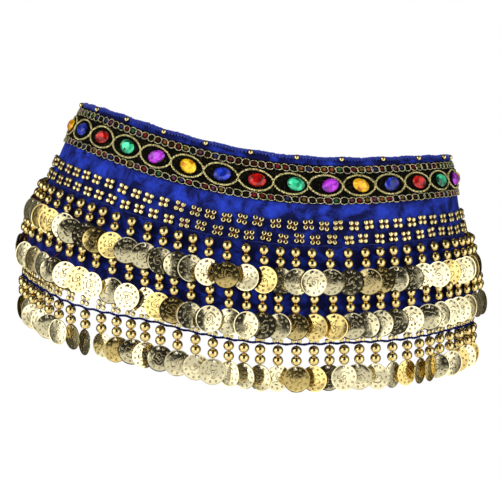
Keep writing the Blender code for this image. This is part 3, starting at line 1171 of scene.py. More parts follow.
@dataclass
class VelvetPanel(Part):
    """The velvet panel with its crocheted top edge and its hem."""

    columns: int = 320
    rows: int = 44
    above_top: float = 1.6 * MM
    crease_depth: float = 0.55 * MM
    creases_per_radian: float = 7.0
    creases_per_metre: float = 38.0
    crease_held: float = 0.35
    edge_wave: float = 0.35 * MM
    rolled_right: float = 3.6 * MM
    rolled_left: float = 1.8 * MM
    picot_pitch: float = 2.6 * MM
    picot_height: float = 1.3 * MM
    picot_up: float = 0.4 * MM
    picot_sway: float = 0.25 * MM
    picot_rounds: tuple[tuple[float, float], ...] = (
        (0.0, 0.5 * MM),
        (math.pi, -1.0 * MM),
        (math.pi / 2, -2.0 * MM),
    )
    edge_thread: float = 0.42 * MM
    cord_up: float = 1.1 * MM
    cord_out: float = -0.7 * MM
    cord_strand: float = 0.55 * MM
    cord_thick: float = 0.6 * MM
    cord_pitch: float = 3.4 * MM
    edge_bead: float = 2.2 * MM
    bead_pitch: float = 35.3 * MM
    bead_first: float = 0.5 * MM
    stitch_pitch: float = 2.2 * MM
    stitch_height: float = 0.9 * MM
    stitch_out: float = 1.15 * MM
    stitch_thread: float = 0.32 * MM

    def crease(self, angle: float, drop: float) -> float:
        """Finds how deep the small creases are, which never stand proud of the form.

        Args:
            angle: Where round the figure.
            drop: How far below the top edge.

        Returns:
            The distance outwards, 0 or less.
        """
        spot = Vector((angle * self.creases_per_radian, drop * self.creases_per_metre, 3.1))
        slow = noise.noise(spot)
        quick = noise.noise(spot * 2.7 + Vector((5.0, 1.0, 0.0)))
        held = self.crease_held if drop < self.form.band_bottom else 1.0
        return -self.crease_depth * held * abs(0.7 * slow + 0.5 * quick)

    def top_at(self, angle: float) -> float:
        """Finds the velvet's slightly wavy top edge, which rolls over at the sides.

        Args:
            angle: Where round the figure.

        Returns:
            The edge's drop.
        """
        s = math.sin(angle)
        rolled = (self.rolled_right if s < 0 else self.rolled_left) * s * s
        ragged = math.sin(angle * 31.0) + 1.6 * noise.noise(Vector((angle * 60.0, 0.0, 7.0)))
        return rolled - self.above_top - self.edge_wave * ragged

    def build(self) -> bpy.types.Object:
        """Builds the cloth.

        Returns:
            The cloth's object.
        """
        form = self.form
        ruler = Ruler(form, form.middle_chain)
        low, high = ruler.ends

        def spot(share: float, down: float) -> tuple[float, float]:
            angle = ruler.angle_at(low + (high - low) * share)
            top = self.top_at(angle)
            return angle, top + (form.hem_drop - top) * down

        def place(share: float, down: float) -> Vector:
            angle, drop = spot(share, down)
            cut = form.cut_drop(angle, drop)
            return form.point(angle, cut, self.crease(angle, cut))

        def measure(share: float, down: float) -> tuple[float, float]:
            angle, drop = spot(share, down)
            return low + (high - low) * share, form.cut_drop(angle, drop)

        bm = cloth_grid(self.columns, self.rows, place, measure)
        return self.shop.cloth("velvet_cloth", "velvet_panel", bm, form.wall)

    def trim_top(self) -> list[bpy.types.Object]:
        """Works the crocheted picots over the top edge and strings its small beads.

        Returns:
            The new objects.
        """
        form = self.form
        ruler = Ruler(form, -self.above_top)
        low, high = ruler.ends
        steps = round((high - low) / self.picot_pitch) * 8
        paths: list[list[Vector]] = []
        for phase, out in self.picot_rounds:
            path = []
            for i in range(steps + 1):
                along = low + (high - low) * i / steps
                angle = ruler.angle_at(along)
                swing = math.sin(2 * math.pi * along / self.picot_pitch + phase)
                drop = self.top_at(angle) - self.picot_up - self.picot_height * swing
                path.append(form.point(angle, drop, out + self.picot_sway * swing))
            paths.append(path)
        lace = self.shop.threads("crochet_picot_edge", paths, self.edge_thread, CROCHET)

        def centre(along: float) -> Vector:
            angle = ruler.angle_at(along)
            return form.point(angle, self.top_at(angle) - self.cord_up, self.cord_out)

        strands = twisted(ruler, 0.0, centre, (low, high), self.cord_strand, self.cord_pitch)
        cord = self.shop.threads("crochet_edge_cord", strands, self.cord_thick, CROCHET)
        stamp = Stamp(bead_shape(self.edge_bead, 10, 7))
        for along in ruler.spaced(self.bead_pitch, self.bead_first, form.panel_end):
            angle = ruler.angle_at(along)
            stamp.put(form.axes(angle, self.top_at(angle) + 0.1 * MM, 1.5 * MM))
        beads = self.shop.piece("top_edge_beads", stamp.finish(), (PLATING,))
        return [lace, cord, beads]

    def trim_hem(self) -> bpy.types.Object:
        """Overcasts the hem with one thread.

        Returns:
            The new object.
        """
        form = self.form
        ruler = Ruler(form, form.hem_drop)
        pitch = self.stitch_pitch
        low, high = ruler.along_at(-form.fringe_end), ruler.along_at(form.fringe_end)
        steps = round((high - low) / pitch) * 6
        path = []
        for i in range(steps + 1):
            along = low + (high - low) * i / steps
            turn = 2 * math.pi * along / pitch
            out = -form.wall / 2 + self.stitch_out * math.sin(turn)
            drop = form.hem_drop - 0.5 * MM + self.stitch_height * math.cos(turn)
            path.append(form.point(ruler.angle_at(along), drop, out))
        return self.shop.threads("hem_overcasting", [path], self.stitch_thread, CROCHET)


@dataclass
class JewelBand(Part):
    """The jacquard braid with its border rings, linked ovals and stones."""

    columns: int = 480
    rows: int = 6
    thickness: float = 1.0 * MM
    seam: float = 0.3 * MM
    ring_size: tuple[float, float] = (3.6 * MM, 2.7 * MM)
    ring_widths: tuple[float, float] = (0.86, 1.06)
    ring_heights: tuple[float, float] = (0.84, 1.08)
    ring_lean: float = 0.3
    ring_points: int = 12
    ring_up: float = 0.3 * MM
    ring_thread: float = 0.25 * MM
    oval_half_height: float = 7.9 * MM
    oval_shift: float = -1.1 * MM
    oval_fullness: tuple[float, float] = (2.1, 0.62)
    oval_up: float = 0.55 * MM
    oval_over: float = 0.35 * MM
    oval_crossing: float = 3 * MM
    oval_margin: float = 1 * MM
    oval_thread: float = 0.50 * MM
    oval_strand: float = 0.42 * MM
    oval_pitch: float = 3.2 * MM
    stone_pitch: float = 0.0270
    stone_first: float = 0.0055
    stone_shifts: tuple[tuple[int, float], ...] = ((1, 2.6 * MM), (2, 2.3 * MM))
    stone_size: tuple[float, float, float] = (14.0 * MM, 10.5 * MM, 3.4 * MM)
    stone_sides: int = 14
    stone_rings: tuple[tuple[float, float, float], ...] = (
        (0.47, 0.0, 0.0),
        (0.50, 0.22, 0.0),
        (0.42, 0.62, 0.5),
        (0.27, 1.0, 0.0),
    )
    stone_margin: float = 0.014
    stone_up: float = 0.25 * MM
    stone_spin: float = 0.4

    @property
    def ruler(self) -> Ruler:
        """The braid's ruler, along its middle."""
        return Ruler(self.form, self.form.band_middle)

    @property
    def face(self) -> float:
        """How far out the braid's face lies."""
        return self.seam + self.thickness

    def build(self) -> bpy.types.Object:
        """Weaves the braid.

        Returns:
            The braid's object.
        """
        form, ruler = self.form, self.ruler
        low, high = ruler.ends
        height = form.band_bottom - form.band_top

        def place(share: float, down: float) -> Vector:
            angle = ruler.angle_at(low + (high - low) * share)
            return form.point(angle, form.band_top + height * down, self.seam)

        def measure(share: float, down: float) -> tuple[float, float]:
            return low + (high - low) * share, height * down

        bm = cloth_grid(self.columns, self.rows, place, measure)
        return self.shop.cloth("jewelled_braid", "jewel_band", bm, self.thickness, (BRAID,), False)

    def rings(self) -> bpy.types.Object:
        """Works the small gold rings along both borders.

        Returns:
            The rings' object.
        """
        form, ruler = self.form, self.ruler
        draw = random.Random(5)
        paths = []
        for row in BRAID.ring_rows:
            for along in ruler.spaced(BRAID.ring_pitch, BRAID.ring_pitch / 2, form.panel_end):
                wide = self.ring_size[0] * draw.uniform(*self.ring_widths)
                tall = self.ring_size[1] * draw.uniform(*self.ring_heights)
                lean = draw.uniform(-self.ring_lean, self.ring_lean)
                if abs(along) + wide > ruler.along[-1]:
                    continue
                ring = []
                for k in range(self.ring_points):
                    turn = 2 * math.pi * k / self.ring_points
                    x, y = wide * math.cos(turn), tall * math.sin(turn)
                    angle = ruler.angle_at(along + x + lean * y)
                    rise = self.face + self.ring_up + self.ring_up * math.cos(turn)
                    ring.append(form.point(angle, form.band_top + row - y, rise))
                paths.append(ring)
        return self.shop.threads("border_rings", paths, self.ring_thread, OLD_LUREX, closed=True)

    def ovals(self) -> bpy.types.Object:
        """Lays the two gold cords that cross between the stones.

        Returns:
            The cords' object.
        """
        form, ruler = self.form, self.ruler
        edge = self.stone_first - self.stone_pitch / 2 + self.oval_shift
        ends = (ruler.ends[0] + self.oval_margin, ruler.ends[1] - self.oval_margin)
        paths: list[list[Vector]] = []
        for side in (1, -1):

            def centre(along: float, side: int = side) -> Vector:
                cell = (along - edge) / self.stone_pitch
                number = math.floor(cell)
                t = 2 * (cell - number) - 1
                swing = side * (1 if number % 2 == 0 else -1)
                sideways, upwards = self.oval_fullness
                reach = self.oval_half_height * max(1 - abs(t) ** sideways, 0.0) ** upwards
                over = self.oval_over * side * math.cos(math.pi * cell)
                rise = self.face + self.oval_up + over * (1 - min(1.0, reach / self.oval_crossing))
                drop = form.band_middle - swing * reach
                return form.point(ruler.angle_at(along), drop, rise)

            strand, pitch = self.oval_strand, self.oval_pitch
            paths += twisted(ruler, form.band_middle, centre, ends, strand, pitch)
        return self.shop.threads("linked_ovals", paths, self.oval_thread, LUREX)

    def stone_shape(self) -> bmesh.types.BMesh:
        """Cuts one stone from its rings: girdle, two rows of facets and a table.

        Returns:
            The stone, 1 by 1 by 1, standing on its flat back.
        """
        bm = bmesh.new()
        sides = self.stone_sides
        for radius, height, shift in self.stone_rings:
            turn = Matrix.Rotation(2 * math.pi * shift / sides, 4, "Z")
            place = Matrix.Translation((0, 0, height)) @ turn
            bmesh.ops.create_circle(bm, segments=sides, radius=radius, matrix=place)
        bmesh.ops.convex_hull(bm, input=bm.verts)
        return bm

    def stones(self) -> list[bpy.types.Object]:
        """Sets the stones, one piece for each colour.

        Returns:
            The stones' objects.
        """
        form, ruler = self.form, self.ruler
        low, high = ruler.ends
        first = math.ceil((low + self.stone_margin - self.stone_first) / self.stone_pitch)
        last = math.floor((high - self.stone_margin - self.stone_first) / self.stone_pitch)
        made = []
        for shade, colour in enumerate(Stone):
            stamp = Stamp(self.stone_shape())
            nodes = []
            for n in range(first, last + 1):
                if n % len(Stone) != shade:
                    continue
                side = "left" if n < 0 else "right"
                nodes.append(f"gem_{side}_{abs(n):02d}")
                along = self.stone_first + n * self.stone_pitch
                angle = ruler.angle_at(along + dict(self.stone_shifts).get(n, 0.0))
                scale = Matrix.Diagonal((*self.stone_size, 1.0))
                place = form.axes(angle, form.band_middle, self.face + self.stone_up)
                spin = Matrix.Rotation(self.stone_spin * math.sin(3.7 * n), 4, "Z")
                stamp.put(place @ spin @ scale)
            name, finishes = f"{colour.value[0]}_stones", (colour.finish,)
            made.append(self.shop.piece(name, stamp.finish(), finishes, nodes, smooth=False))
        return made


@dataclass
class SeedClusters(Part):
    """The sewn clusters of four small beads, each round a crossed rust thread."""

    bead: float = 2.05 * MM
    half_gap: float = 2.2 * MM
    hole: float = 0.7
    hole_sunk: float = 0.2
    flatness: float = 0.75
    rows: tuple[tuple[float, float, float], ...] = (
        (50.0 * MM, 12.35 * MM, 6.6 * MM),
        (60.7 * MM, 12.6 * MM, 12.5 * MM),
    )
    thread: float = 0.34 * MM
    stray_along: float = 0.9 * MM
    stray_down: float = 0.6 * MM
    lean: float = 0.16
    loose: float = 0.25 * MM
    squeezed: float = 0.93
    thread_up: float = 0.5 * MM

    def places(self) -> list[Matrix]:
        """Where the clusters sit on the velvet.

        Returns:
            A frame on the cloth for each.
        """
        draw = random.Random(17)
        places = []
        for drop, pitch, first in self.rows:
            ruler = Ruler(self.form, drop)
            for along in ruler.spaced(pitch, first, self.form.fringe_end + 0.02):
                angle = ruler.angle_at(along + self.stray_along * draw.uniform(-1, 1))
                lower = drop + self.stray_down * draw.uniform(-1, 1)
                place = self.form.axes(angle, lower, self.bead)
                place = place @ Matrix.Rotation(self.lean * draw.uniform(-1, 1), 4, "Z")
                above = self.form.level(angle, self.rows[0][0])
                room = above - self.form.level(angle, drop)
                if drop == self.rows[0][0] or room > 2 * (self.half_gap + self.bead):
                    places.append(place)
        return places

    def build(self, name: str, places: Sequence[Matrix]) -> list[bpy.types.Object]:
        """Strings the beads and the threads between them.

        Args:
            name: The pieces' name.
            places: A frame for each cluster.

        Returns:
            The beads and the threads.
        """
        shape = bead_shape(self.bead, 8, 6)
        bmesh.ops.scale(shape, verts=shape.verts, vec=(1, 1, self.flatness))
        # The hole faces outwards, and the thread shows in it.
        hole = max(shape.verts, key=lambda v: v.co.z)
        brim = [edge.other_vert(hole) for edge in hole.link_edges]
        bmesh.ops.scale(shape, verts=brim, vec=(self.hole, self.hole, 1))
        hole.co.z = self.hole_sunk * self.bead
        for face in hole.link_faces:
            face.material_index = 1
        stamp = Stamp(shape)
        paths: list[list[Vector]] = []
        draw = random.Random(len(places))
        corners = ((-1, -1), (1, 1), (-1, 1), (1, -1))
        for place in places:
            spots = []
            for x, y in corners:
                shift = Vector((draw.uniform(-1, 1), draw.uniform(-1, 1), 0)) * self.loose
                local = Vector((x * self.half_gap, y * self.half_gap * self.squeezed, 0)) + shift
                stamp.put(place @ Matrix.Translation(local))
                spots.append(local)
            middle = Vector((0, 0, self.thread_up))
            paths.append([place @ spots[0], place @ middle, place @ spots[1]])
            paths.append([place @ spots[2], place @ (middle * 0.3), place @ spots[3]])
        beads = self.shop.piece(f"{name}_beads", stamp.finish(), (SEED_PLATING, RUST_THREAD))
        return [beads, self.shop.threads(f"{name}_threads", paths, self.thread, RUST_THREAD)]


def apart(one: tuple[Vector, Vector], other: tuple[Vector, Vector]) -> float:
    """Measures how far two straight lines lie apart in plan.

    Args:
        one: The first line's two ends.
        other: The second line's two ends.

    Returns:
        The shortest distance.
    """
    if intersect_line_line_2d(*one, *other):
        return 0.0
    gaps = []
    for (start, end), points in ((one, other), (other, one)):
        along = end - start
        for point in points:
            share = (point - start).dot(along) / along.length_squared
            gaps.append((point - start - along * min(max(share, 0), 1)).length)
    return min(gaps)


@dataclass(frozen=True)
class Row:
    """A coin fringe: its name, its chain's drop, whether it hangs free, and its seed."""

    word: str
    chain_drop: float
    hangs_free: bool
    seed: int


ROWS = (
    Row("upper", HipForm.upper_chain, False, 18),
    Row("middle", HipForm.middle_chain, False, 38),
    Row("lower", HipForm.lower_chain, True, 44),
)


@dataclass
class CoinFringe(Part):
    """A chain with two beads and a coin at each stitch."""

    row: Row
    chain_height: float = 2.0 * MM
    bead: float = 3.9 * MM
    bead_fullness: float = 1.06
    stray: float = 0.11
    bead_out: float = 4.4 * MM
    bead_downs: tuple[float, float] = (4.2 * MM, 12.0 * MM)
    coin: float = 10.3 * MM
    coin_wall: float = 0.45 * MM
    coin_rim: float = 0.7 * MM
    coin_rim_up: float = 0.16 * MM
    coin_sides: int = 24
    coin_hole: float = 0.85 * MM
    coin_hole_up: float = 8.2 * MM
    coin_middle: float = 26.0 * MM
    coin_out: float = 5.0 * MM
    coin_lean: float = math.radians(8)
    coin_turn: float = math.radians(24)
    coin_turn_free: float = math.radians(44)
    coin_to_front: float = math.radians(16)
    coin_sway: float = 5.0 * MM
    coin_calmer_at_sides: float = 0.55
    coin_apart: float = 1.7 * MM
    coin_tries: int = 300
    cluster_up: float = 3.4 * MM
    string: float = 0.3 * MM
    string_clear: float = 0.9 * MM
    chain_pitch: float = 3.6 * MM
    chain_strand: float = 0.28 * MM
    chain_strand_free: float = 0.60 * MM
    chain_sag: float = 0.2 * MM
    chain_sag_free: float = 0.45 * MM
    coins: list[tuple[float, float]] = field(default_factory=list)
    angles: list[float] = field(default_factory=list)

    def __post_init__(self) -> None:
        """Sets out the stitches and turns the coins, as the CAD model does."""
        form = self.form
        fine = np.linspace(-form.fringe_end, form.fringe_end, 721)
        points = np.array([form.point(a, form.middle_chain) for a in fine])
        steps = np.linalg.norm(np.diff(points, axis=0), axis=1)
        along = np.concatenate([[0], np.cumsum(steps)])
        marks = np.linspace(0, along[-1], form.dangles + 1)
        self.angles = [float(a) for a in np.interp(marks, along, fine)]
        self.turn_coins(random.Random(self.row.seed))

    def middle(self, index: int) -> float:
        """The angle of a dangle, a little off the middle of its stitch."""
        first, last = self.angles[index], self.angles[index + 1]
        share = 0.5 + self.stray * math.sin(7.3 * index + 40 * self.row.chain_drop)
        return first + share * (last - first)

    def centre(self, index: int, down: float, out: float) -> Vector:
        """Finds a point on the line of a dangle, which lies on the cloth or hangs free.

        Args:
            index: The dangle.
            down: How far below the chain.
            out: How far out from the cloth.

        Returns:
            The point.
        """
        angle = self.middle(index)
        start = self.row.chain_drop + self.chain_height
        if not self.row.hangs_free:
            return self.form.point(angle, start + down, out)
        return self.form.point(angle, start, out) - Vector((0, 0, down))

    def outward(self, index: int) -> Vector:
        """The direction away from the figure at a dangle."""
        return self.form.facing(self.middle(index), self.row.chain_drop)

    def coin_plan(self, index: int, turn: float, reach: float) -> tuple[Vector, Vector]:
        """Draws a coin as it is seen from above.

        Args:
            index: The dangle.
            turn: The coin's turn about its thread.
            reach: How far out from the cloth it hangs.

        Returns:
            The two ends of its widest line.
        """
        out = self.outward(index)
        across = Matrix.Rotation(turn, 3, "Z") @ Vector((-out.y, out.x, 0)) * self.coin
        middle = self.centre(index, self.coin_middle, reach)
        return (middle - across).xy, (middle + across).xy

    def turn_coins(self, draw: random.Random) -> None:
        """Gives each coin a turn and a reach that clear the coin before it.

        Args:
            draw: The row's seeded random numbers.
        """
        free = self.row.hangs_free
        most = self.coin_turn_free if free else self.coin_turn
        before = None
        for index in range(len(self.angles) - 1):
            calm = 1.0
            if not free:
                calm -= self.coin_calmer_at_sides * math.sin(self.middle(index)) ** 4
            to_front = -self.coin_to_front * math.sin(2 * self.middle(index))
            tried = []
            for _ in range(self.coin_tries):
                turn = to_front + draw.uniform(-most, most) * calm
                reach = draw.uniform(0, self.coin_sway) * calm
                if free:
                    reach -= (self.coin_sway + self.form.wall) / 2
                else:
                    lifted = self.coin_apart + self.coin * abs(math.sin(turn))
                    reach += max(self.coin_out, lifted)
                plan = self.coin_plan(index, turn, reach)
                gap = apart(before, plan) if before else self.coin_apart
                tried.append((min(gap, self.coin_apart), turn, reach, plan))
                if gap >= self.coin_apart:
                    break
            _, turn, reach, before = max(tried, key=lambda one: one[0])
            self.coins.append((turn, reach))

    def coin_shape(self) -> bmesh.types.BMesh:
        """Stamps one coin: a thin disc with its hole at the top and a raised rim.

        Returns:
            The coin in the XZ plane of its face, its UV map named coin.
        """
        bm = bmesh.new()
        bmesh.ops.create_circle(bm, segments=self.coin_sides, radius=self.coin)
        hole = Matrix.Translation((0, self.coin_hole_up, 0))
        bmesh.ops.create_circle(bm, segments=5, radius=self.coin_hole, matrix=hole)
        bmesh.ops.triangle_fill(bm, use_beauty=True, edges=bm.edges[:], normal=(0, 0, 1))
        front = bm.faces[:]
        for face in front:
            if face.normal.z < 0:
                face.normal_flip()
        wall = bmesh.ops.extrude_face_region(bm, geom=front, use_keep_orig=True)
        moved = [v for v in wall["geom"] if isinstance(v, bmesh.types.BMVert)]
        bmesh.ops.translate(bm, verts=moved, vec=(0, 0, self.coin_wall))
        bmesh.ops.recalc_face_normals(bm, faces=bm.faces)
        if bm.calc_volume(signed=True) < 0:
            bmesh.ops.reverse_faces(bm, faces=bm.faces)
        top = [f for f in bm.faces if f.normal.z > 0.9]
        bmesh.ops.inset_region(
            bm, faces=top, thickness=self.coin_rim, depth=-self.coin_rim_up, use_even_offset=True
        )
        bmesh.ops.translate(bm, verts=bm.verts, vec=(0, 0, -self.coin_wall / 2))
        uv = bm.loops.layers.uv.new("coin")
        for face in bm.faces:
            for loop in face.loops:
                x, y, _ = loop.vert.co
                loop[uv].uv = (0.5 + 0.49 * x / self.coin, 0.5 + 0.49 * y / self.coin)
        return bm

    def coin_place(self, index: int) -> Matrix:
        """The place of a coin: its face looks outwards, turned and leaning.

        Args:
            index: The dangle.

        Returns:
            The coin's matrix.
        """
        turn, reach = self.coins[index]
        out = Matrix.Rotation(turn, 3, "Z") @ self.outward(index)
        along = Vector((-out.y, out.x, 0))
        lean = 0.0 if self.row.hangs_free else -self.coin_lean
        lean += 0.05 * math.sin(2.9 * index + self.row.seed)
        tilt = Matrix.Rotation(lean, 3, along)
        out = tilt @ out
        axes = Matrix((along, out.cross(along), out)).transposed().to_4x4()
        axes.translation = self.centre(index, self.coin_middle, reach)
        return axes

    def hang_coins(self) -> bpy.types.Object:
        """Hangs the coins.

        Returns:
            The coins' object.
        """
        stamp = Stamp(self.coin_shape())
        uv = stamp.target.loops.layers.uv.new("coin")
        draw = random.Random(self.row.seed + 1)
        for index in range(len(self.coins)):
            spin = Matrix.Rotation(draw.uniform(-0.12, 0.12), 4, "Z")
            faces = stamp.put(self.coin_place(index) @ spin)
            shift = Vector((index, self.row.seed))
            for face in faces:
                for loop in face.loops:
                    loop[uv].uv += shift
        name, node = f"{self.row.word}_coins", f"coin_fringe_{self.row.word}"
        return self.shop.piece(name, stamp.finish(), (COIN,), (node,), smooth=False)

    def beads_at(self, index: int) -> list[Vector]:
        """The middles of a dangle's two large beads."""
        out = -self.form.wall / 2 if self.row.hangs_free else self.bead_out
        return [self.centre(index, down, out) for down in self.bead_downs]

    def string_beads(self) -> bpy.types.Object:
        """Strings the large beads.

        Returns:
            The beads' object.
        """
        stamp = Stamp(bead_shape(self.bead, 12, 8))
        draw = random.Random(self.row.seed + 2)
        for index in range(len(self.coins)):
            for middle in self.beads_at(index):
                spin = Matrix.Rotation(draw.uniform(0, 0.5), 4, "Z")
                full = Matrix.Diagonal((self.bead_fullness, self.bead_fullness, 1.0, 1.0))
                stamp.put(Matrix.Translation(middle) @ spin @ full)
        return self.shop.piece(f"{self.row.word}_large_beads", stamp.finish(), (PLATING,))

    def string_threads(self) -> bpy.types.Object:
        """Runs the rust thread from the chain through the beads to the coin's hole.

        Returns:
            The threads' object.
        """
        paths = []
        for index in range(len(self.coins)):
            place = self.coin_place(index)
            hole = place @ Vector((0, self.coin_hole_up, self.string_clear))
            back = place @ Vector((0, self.coin_hole_up + self.string, -self.string_clear))
            first, second = self.beads_at(index)
            start = self.centre(index, -0.6 * MM, -self.form.wall / 2)
            low = second - Vector((0, 0, self.bead))
            string = [first, second, low, hole, back]
            paths.append([start, *string] if self.row.hangs_free else string)
            paths.append([low, back + Vector((0, 0, 1.2 * MM)), back])
        return self.shop.threads(f"{self.row.word}_threads", paths, self.string, RUST_THREAD)

    def work_chain(self) -> bpy.types.Object:
        """Crochets the chain that carries the row.

        Returns:
            The chain's object.
        """
        form, row = self.form, self.row
        drop = row.chain_drop + self.chain_height / 2
        ruler = Ruler(form, drop)
        first, last = self.angles[0], self.angles[-1]
        out = -form.wall / 2 if row.hangs_free else 0.2 * MM
        sag = self.chain_sag_free if row.hangs_free else self.chain_sag
        ends = (ruler.along_at(first), ruler.along_at(last))
        stitch = (ends[1] - ends[0]) / form.dangles

        def centre(along: float) -> Vector:
            wave = sag * math.cos(2 * math.pi * (along - ends[0]) / stitch)
            return form.point(ruler.angle_at(along), drop - wave, out)

        strand = self.chain_strand_free if row.hangs_free else self.chain_strand
        paths = twisted(ruler, drop, centre, ends, strand, self.chain_pitch)
        finish = DARK_THREAD if row.hangs_free else LINING
        return self.shop.threads(f"{row.word}_chain", paths, strand, finish)

    def hem_clusters(self) -> list[Matrix]:
        """Where the clusters that hang the lowest chain from the hem sit.

        Returns:
            A frame for each.
        """
        places = []
        for index in range(len(self.coins)):
            angle = self.middle(index)
            drop = self.row.chain_drop - self.cluster_up
            places.append(self.form.axes(angle, drop, -self.form.wall / 2))
        return places

    def build(self) -> list[bpy.types.Object]:
        """Builds the whole row.

        Returns:
            The new objects.
        """
        made = [self.hang_coins(), self.string_beads(), self.string_threads(), self.work_chain()]
        if self.row.hangs_free:
            clusters = SeedClusters(self.form, self.shop)
            made += clusters.build("hem_cluster", self.hem_clusters())
        return made


@dataclass
class Ties(Part):
    """The velvet ties: two bands, the knot and two tails, at the back."""

    wall: float = 1.5 * MM
    top: float = 0.0095
    bottom: float = 0.0305
    knot_size: tuple[float, float, float] = (0.026, 0.016, 0.022)
    tail_width: float = 0.024
    tail_length: float = 0.105
    tail_start: tuple[float, float, float] = (0.0062, 0.0020, -0.0122)
    tail_gathered: float = 0.45
    tail_slant: float = 0.010
    tail_apart: float = 0.026
    tail_out: float = 0.006
    tail_wave: float = 0.8 * MM
    pleat: float = 0.5 * MM
    seam: float = 0.3 * MM

    @property
    def knot_centre(self) -> Vector:
        """The middle of the knot."""
        z = self.form.level(math.pi, (self.top + self.bottom) / 2)
        back = self.form.half_sizes(math.pi, z)[1]
        return Vector((0, back + self.knot_size[1] / 2 - 0.004, z))

    def knot(self) -> bpy.types.Object:
        """Ties the knot: a soft lump with folds that run over it.

        Returns:
            The knot's object.
        """
        bm = bmesh.new()
        bmesh.ops.create_cube(bm, size=1.0)
        bmesh.ops.subdivide_edges(
            bm, edges=bm.edges[:], cuts=9, use_grid_fill=True, smooth=0.0
        )
        uv = bm.loops.layers.uv.new("cloth")
        for v in bm.verts:
            way = v.co.normalized()
            body = way * 0.5
            fold = 0.035 * math.sin(16 * way.z + 3.0 * way.x) * (1 - way.z**2)
            body += way * (fold - 0.02)
            v.co = body
        for face in bm.faces:
            for loop in face.loops:
                loop[uv].uv = (loop.vert.co.x * 0.05, 0.05 + loop.vert.co.z * 0.05)
        bmesh.ops.scale(bm, verts=bm.verts, vec=[1.13 * s for s in self.knot_size])
        bmesh.ops.translate(bm, verts=bm.verts, vec=self.knot_centre)
        return self.shop.piece("velvet_knot", bm, (VELVET,), ("tie_knot",))

    def band(self, word: str, side: int) -> bpy.types.Object:
        """Gathers the stretch of a tie from the panel's end to the knot.

        Args:
            word: left or right.
            side: -1 for left, 1 for right.

        Returns:
            The band's object.
        """
        knot = self.knot_centre
        near = knot + Vector((side * (self.knot_size[0] * 0.58 + 1.5 * self.seam), 0, 0))
        middle = (self.top + self.bottom) / 2

        def place(share: float, down: float) -> Vector:
            share = share if side > 0 else 1 - share
            width = 1 - 0.5 * ease(share)
            drop = middle + (down - 0.5) * (self.bottom - self.top) * width
            start = self.form.point(side * self.form.panel_end, drop, -2 * self.seam)
            start += Vector((-side * self.seam * 1.5, 0, 0))
            end = Vector((near.x, near.y, self.form.level(math.pi, drop)))
            pleat = self.pleat * math.sin(down * 5 * math.pi) * math.sin(math.pi * share)
            return start.lerp(end, share) + Vector((0, -abs(pleat), 0))

        def measure(share: float, down: float) -> tuple[float, float]:
            return share * 0.016, 0.045 + down * (self.bottom - self.top)

        bm = cloth_grid(14, 20, place, measure)
        return self.shop.cloth(f"tie_band_cloth_{word}", f"tie_band_{word}", bm, self.wall)

    def tail(self, word: str, side: int) -> bpy.types.Object:
        """Hangs the end of a tie from the knot.

        Args:
            word: left or right.
            side: -1 for left, 1 for right.

        Returns:
            The tail's object.
        """
        aside, back, up = self.tail_start
        start = self.knot_centre + Vector((side * aside, back, up))

        def place(share: float, down: float) -> Vector:
            spread = self.tail_gathered + (1 - self.tail_gathered) * ease(3 * down)
            width = self.tail_width * spread
            corner = share if side > 0 else 1 - share
            slant = self.tail_slant * down * corner
            swing = side * self.tail_apart * down + 2 * MM * math.sin(9 * down)
            out = self.tail_out * ease(2 * down) + side * MM * math.sin(7 * down)
            out += self.tail_wave * math.sin(2 * math.pi * share + 4 * down) * ease(4 * down)
            across = (0.5 - share) * width
            return start + Vector((swing + across, out, -down * (self.tail_length - slant)))

        def measure(share: float, down: float) -> tuple[float, float]:
            return share * self.tail_width, 0.05 + down * self.tail_length

        bm = cloth_grid(12, 48, place, measure)
        name, node = f"tie_tail_cloth_{word}", f"tie_tail_{word}"
        tail = self.shop.cloth(name, node, bm, self.wall, inwards=False)
        return tail

    def build(self) -> list[bpy.types.Object]:
        """Builds the ties.

        Returns:
            The knot and the bands. The tails are sheets of their own.
        """
        made = [self.knot()]
        for word, side in (("left", -1), ("right", 1)):
            made.append(self.band(word, side))
            self.tail(word, side)
        return made


# The studio


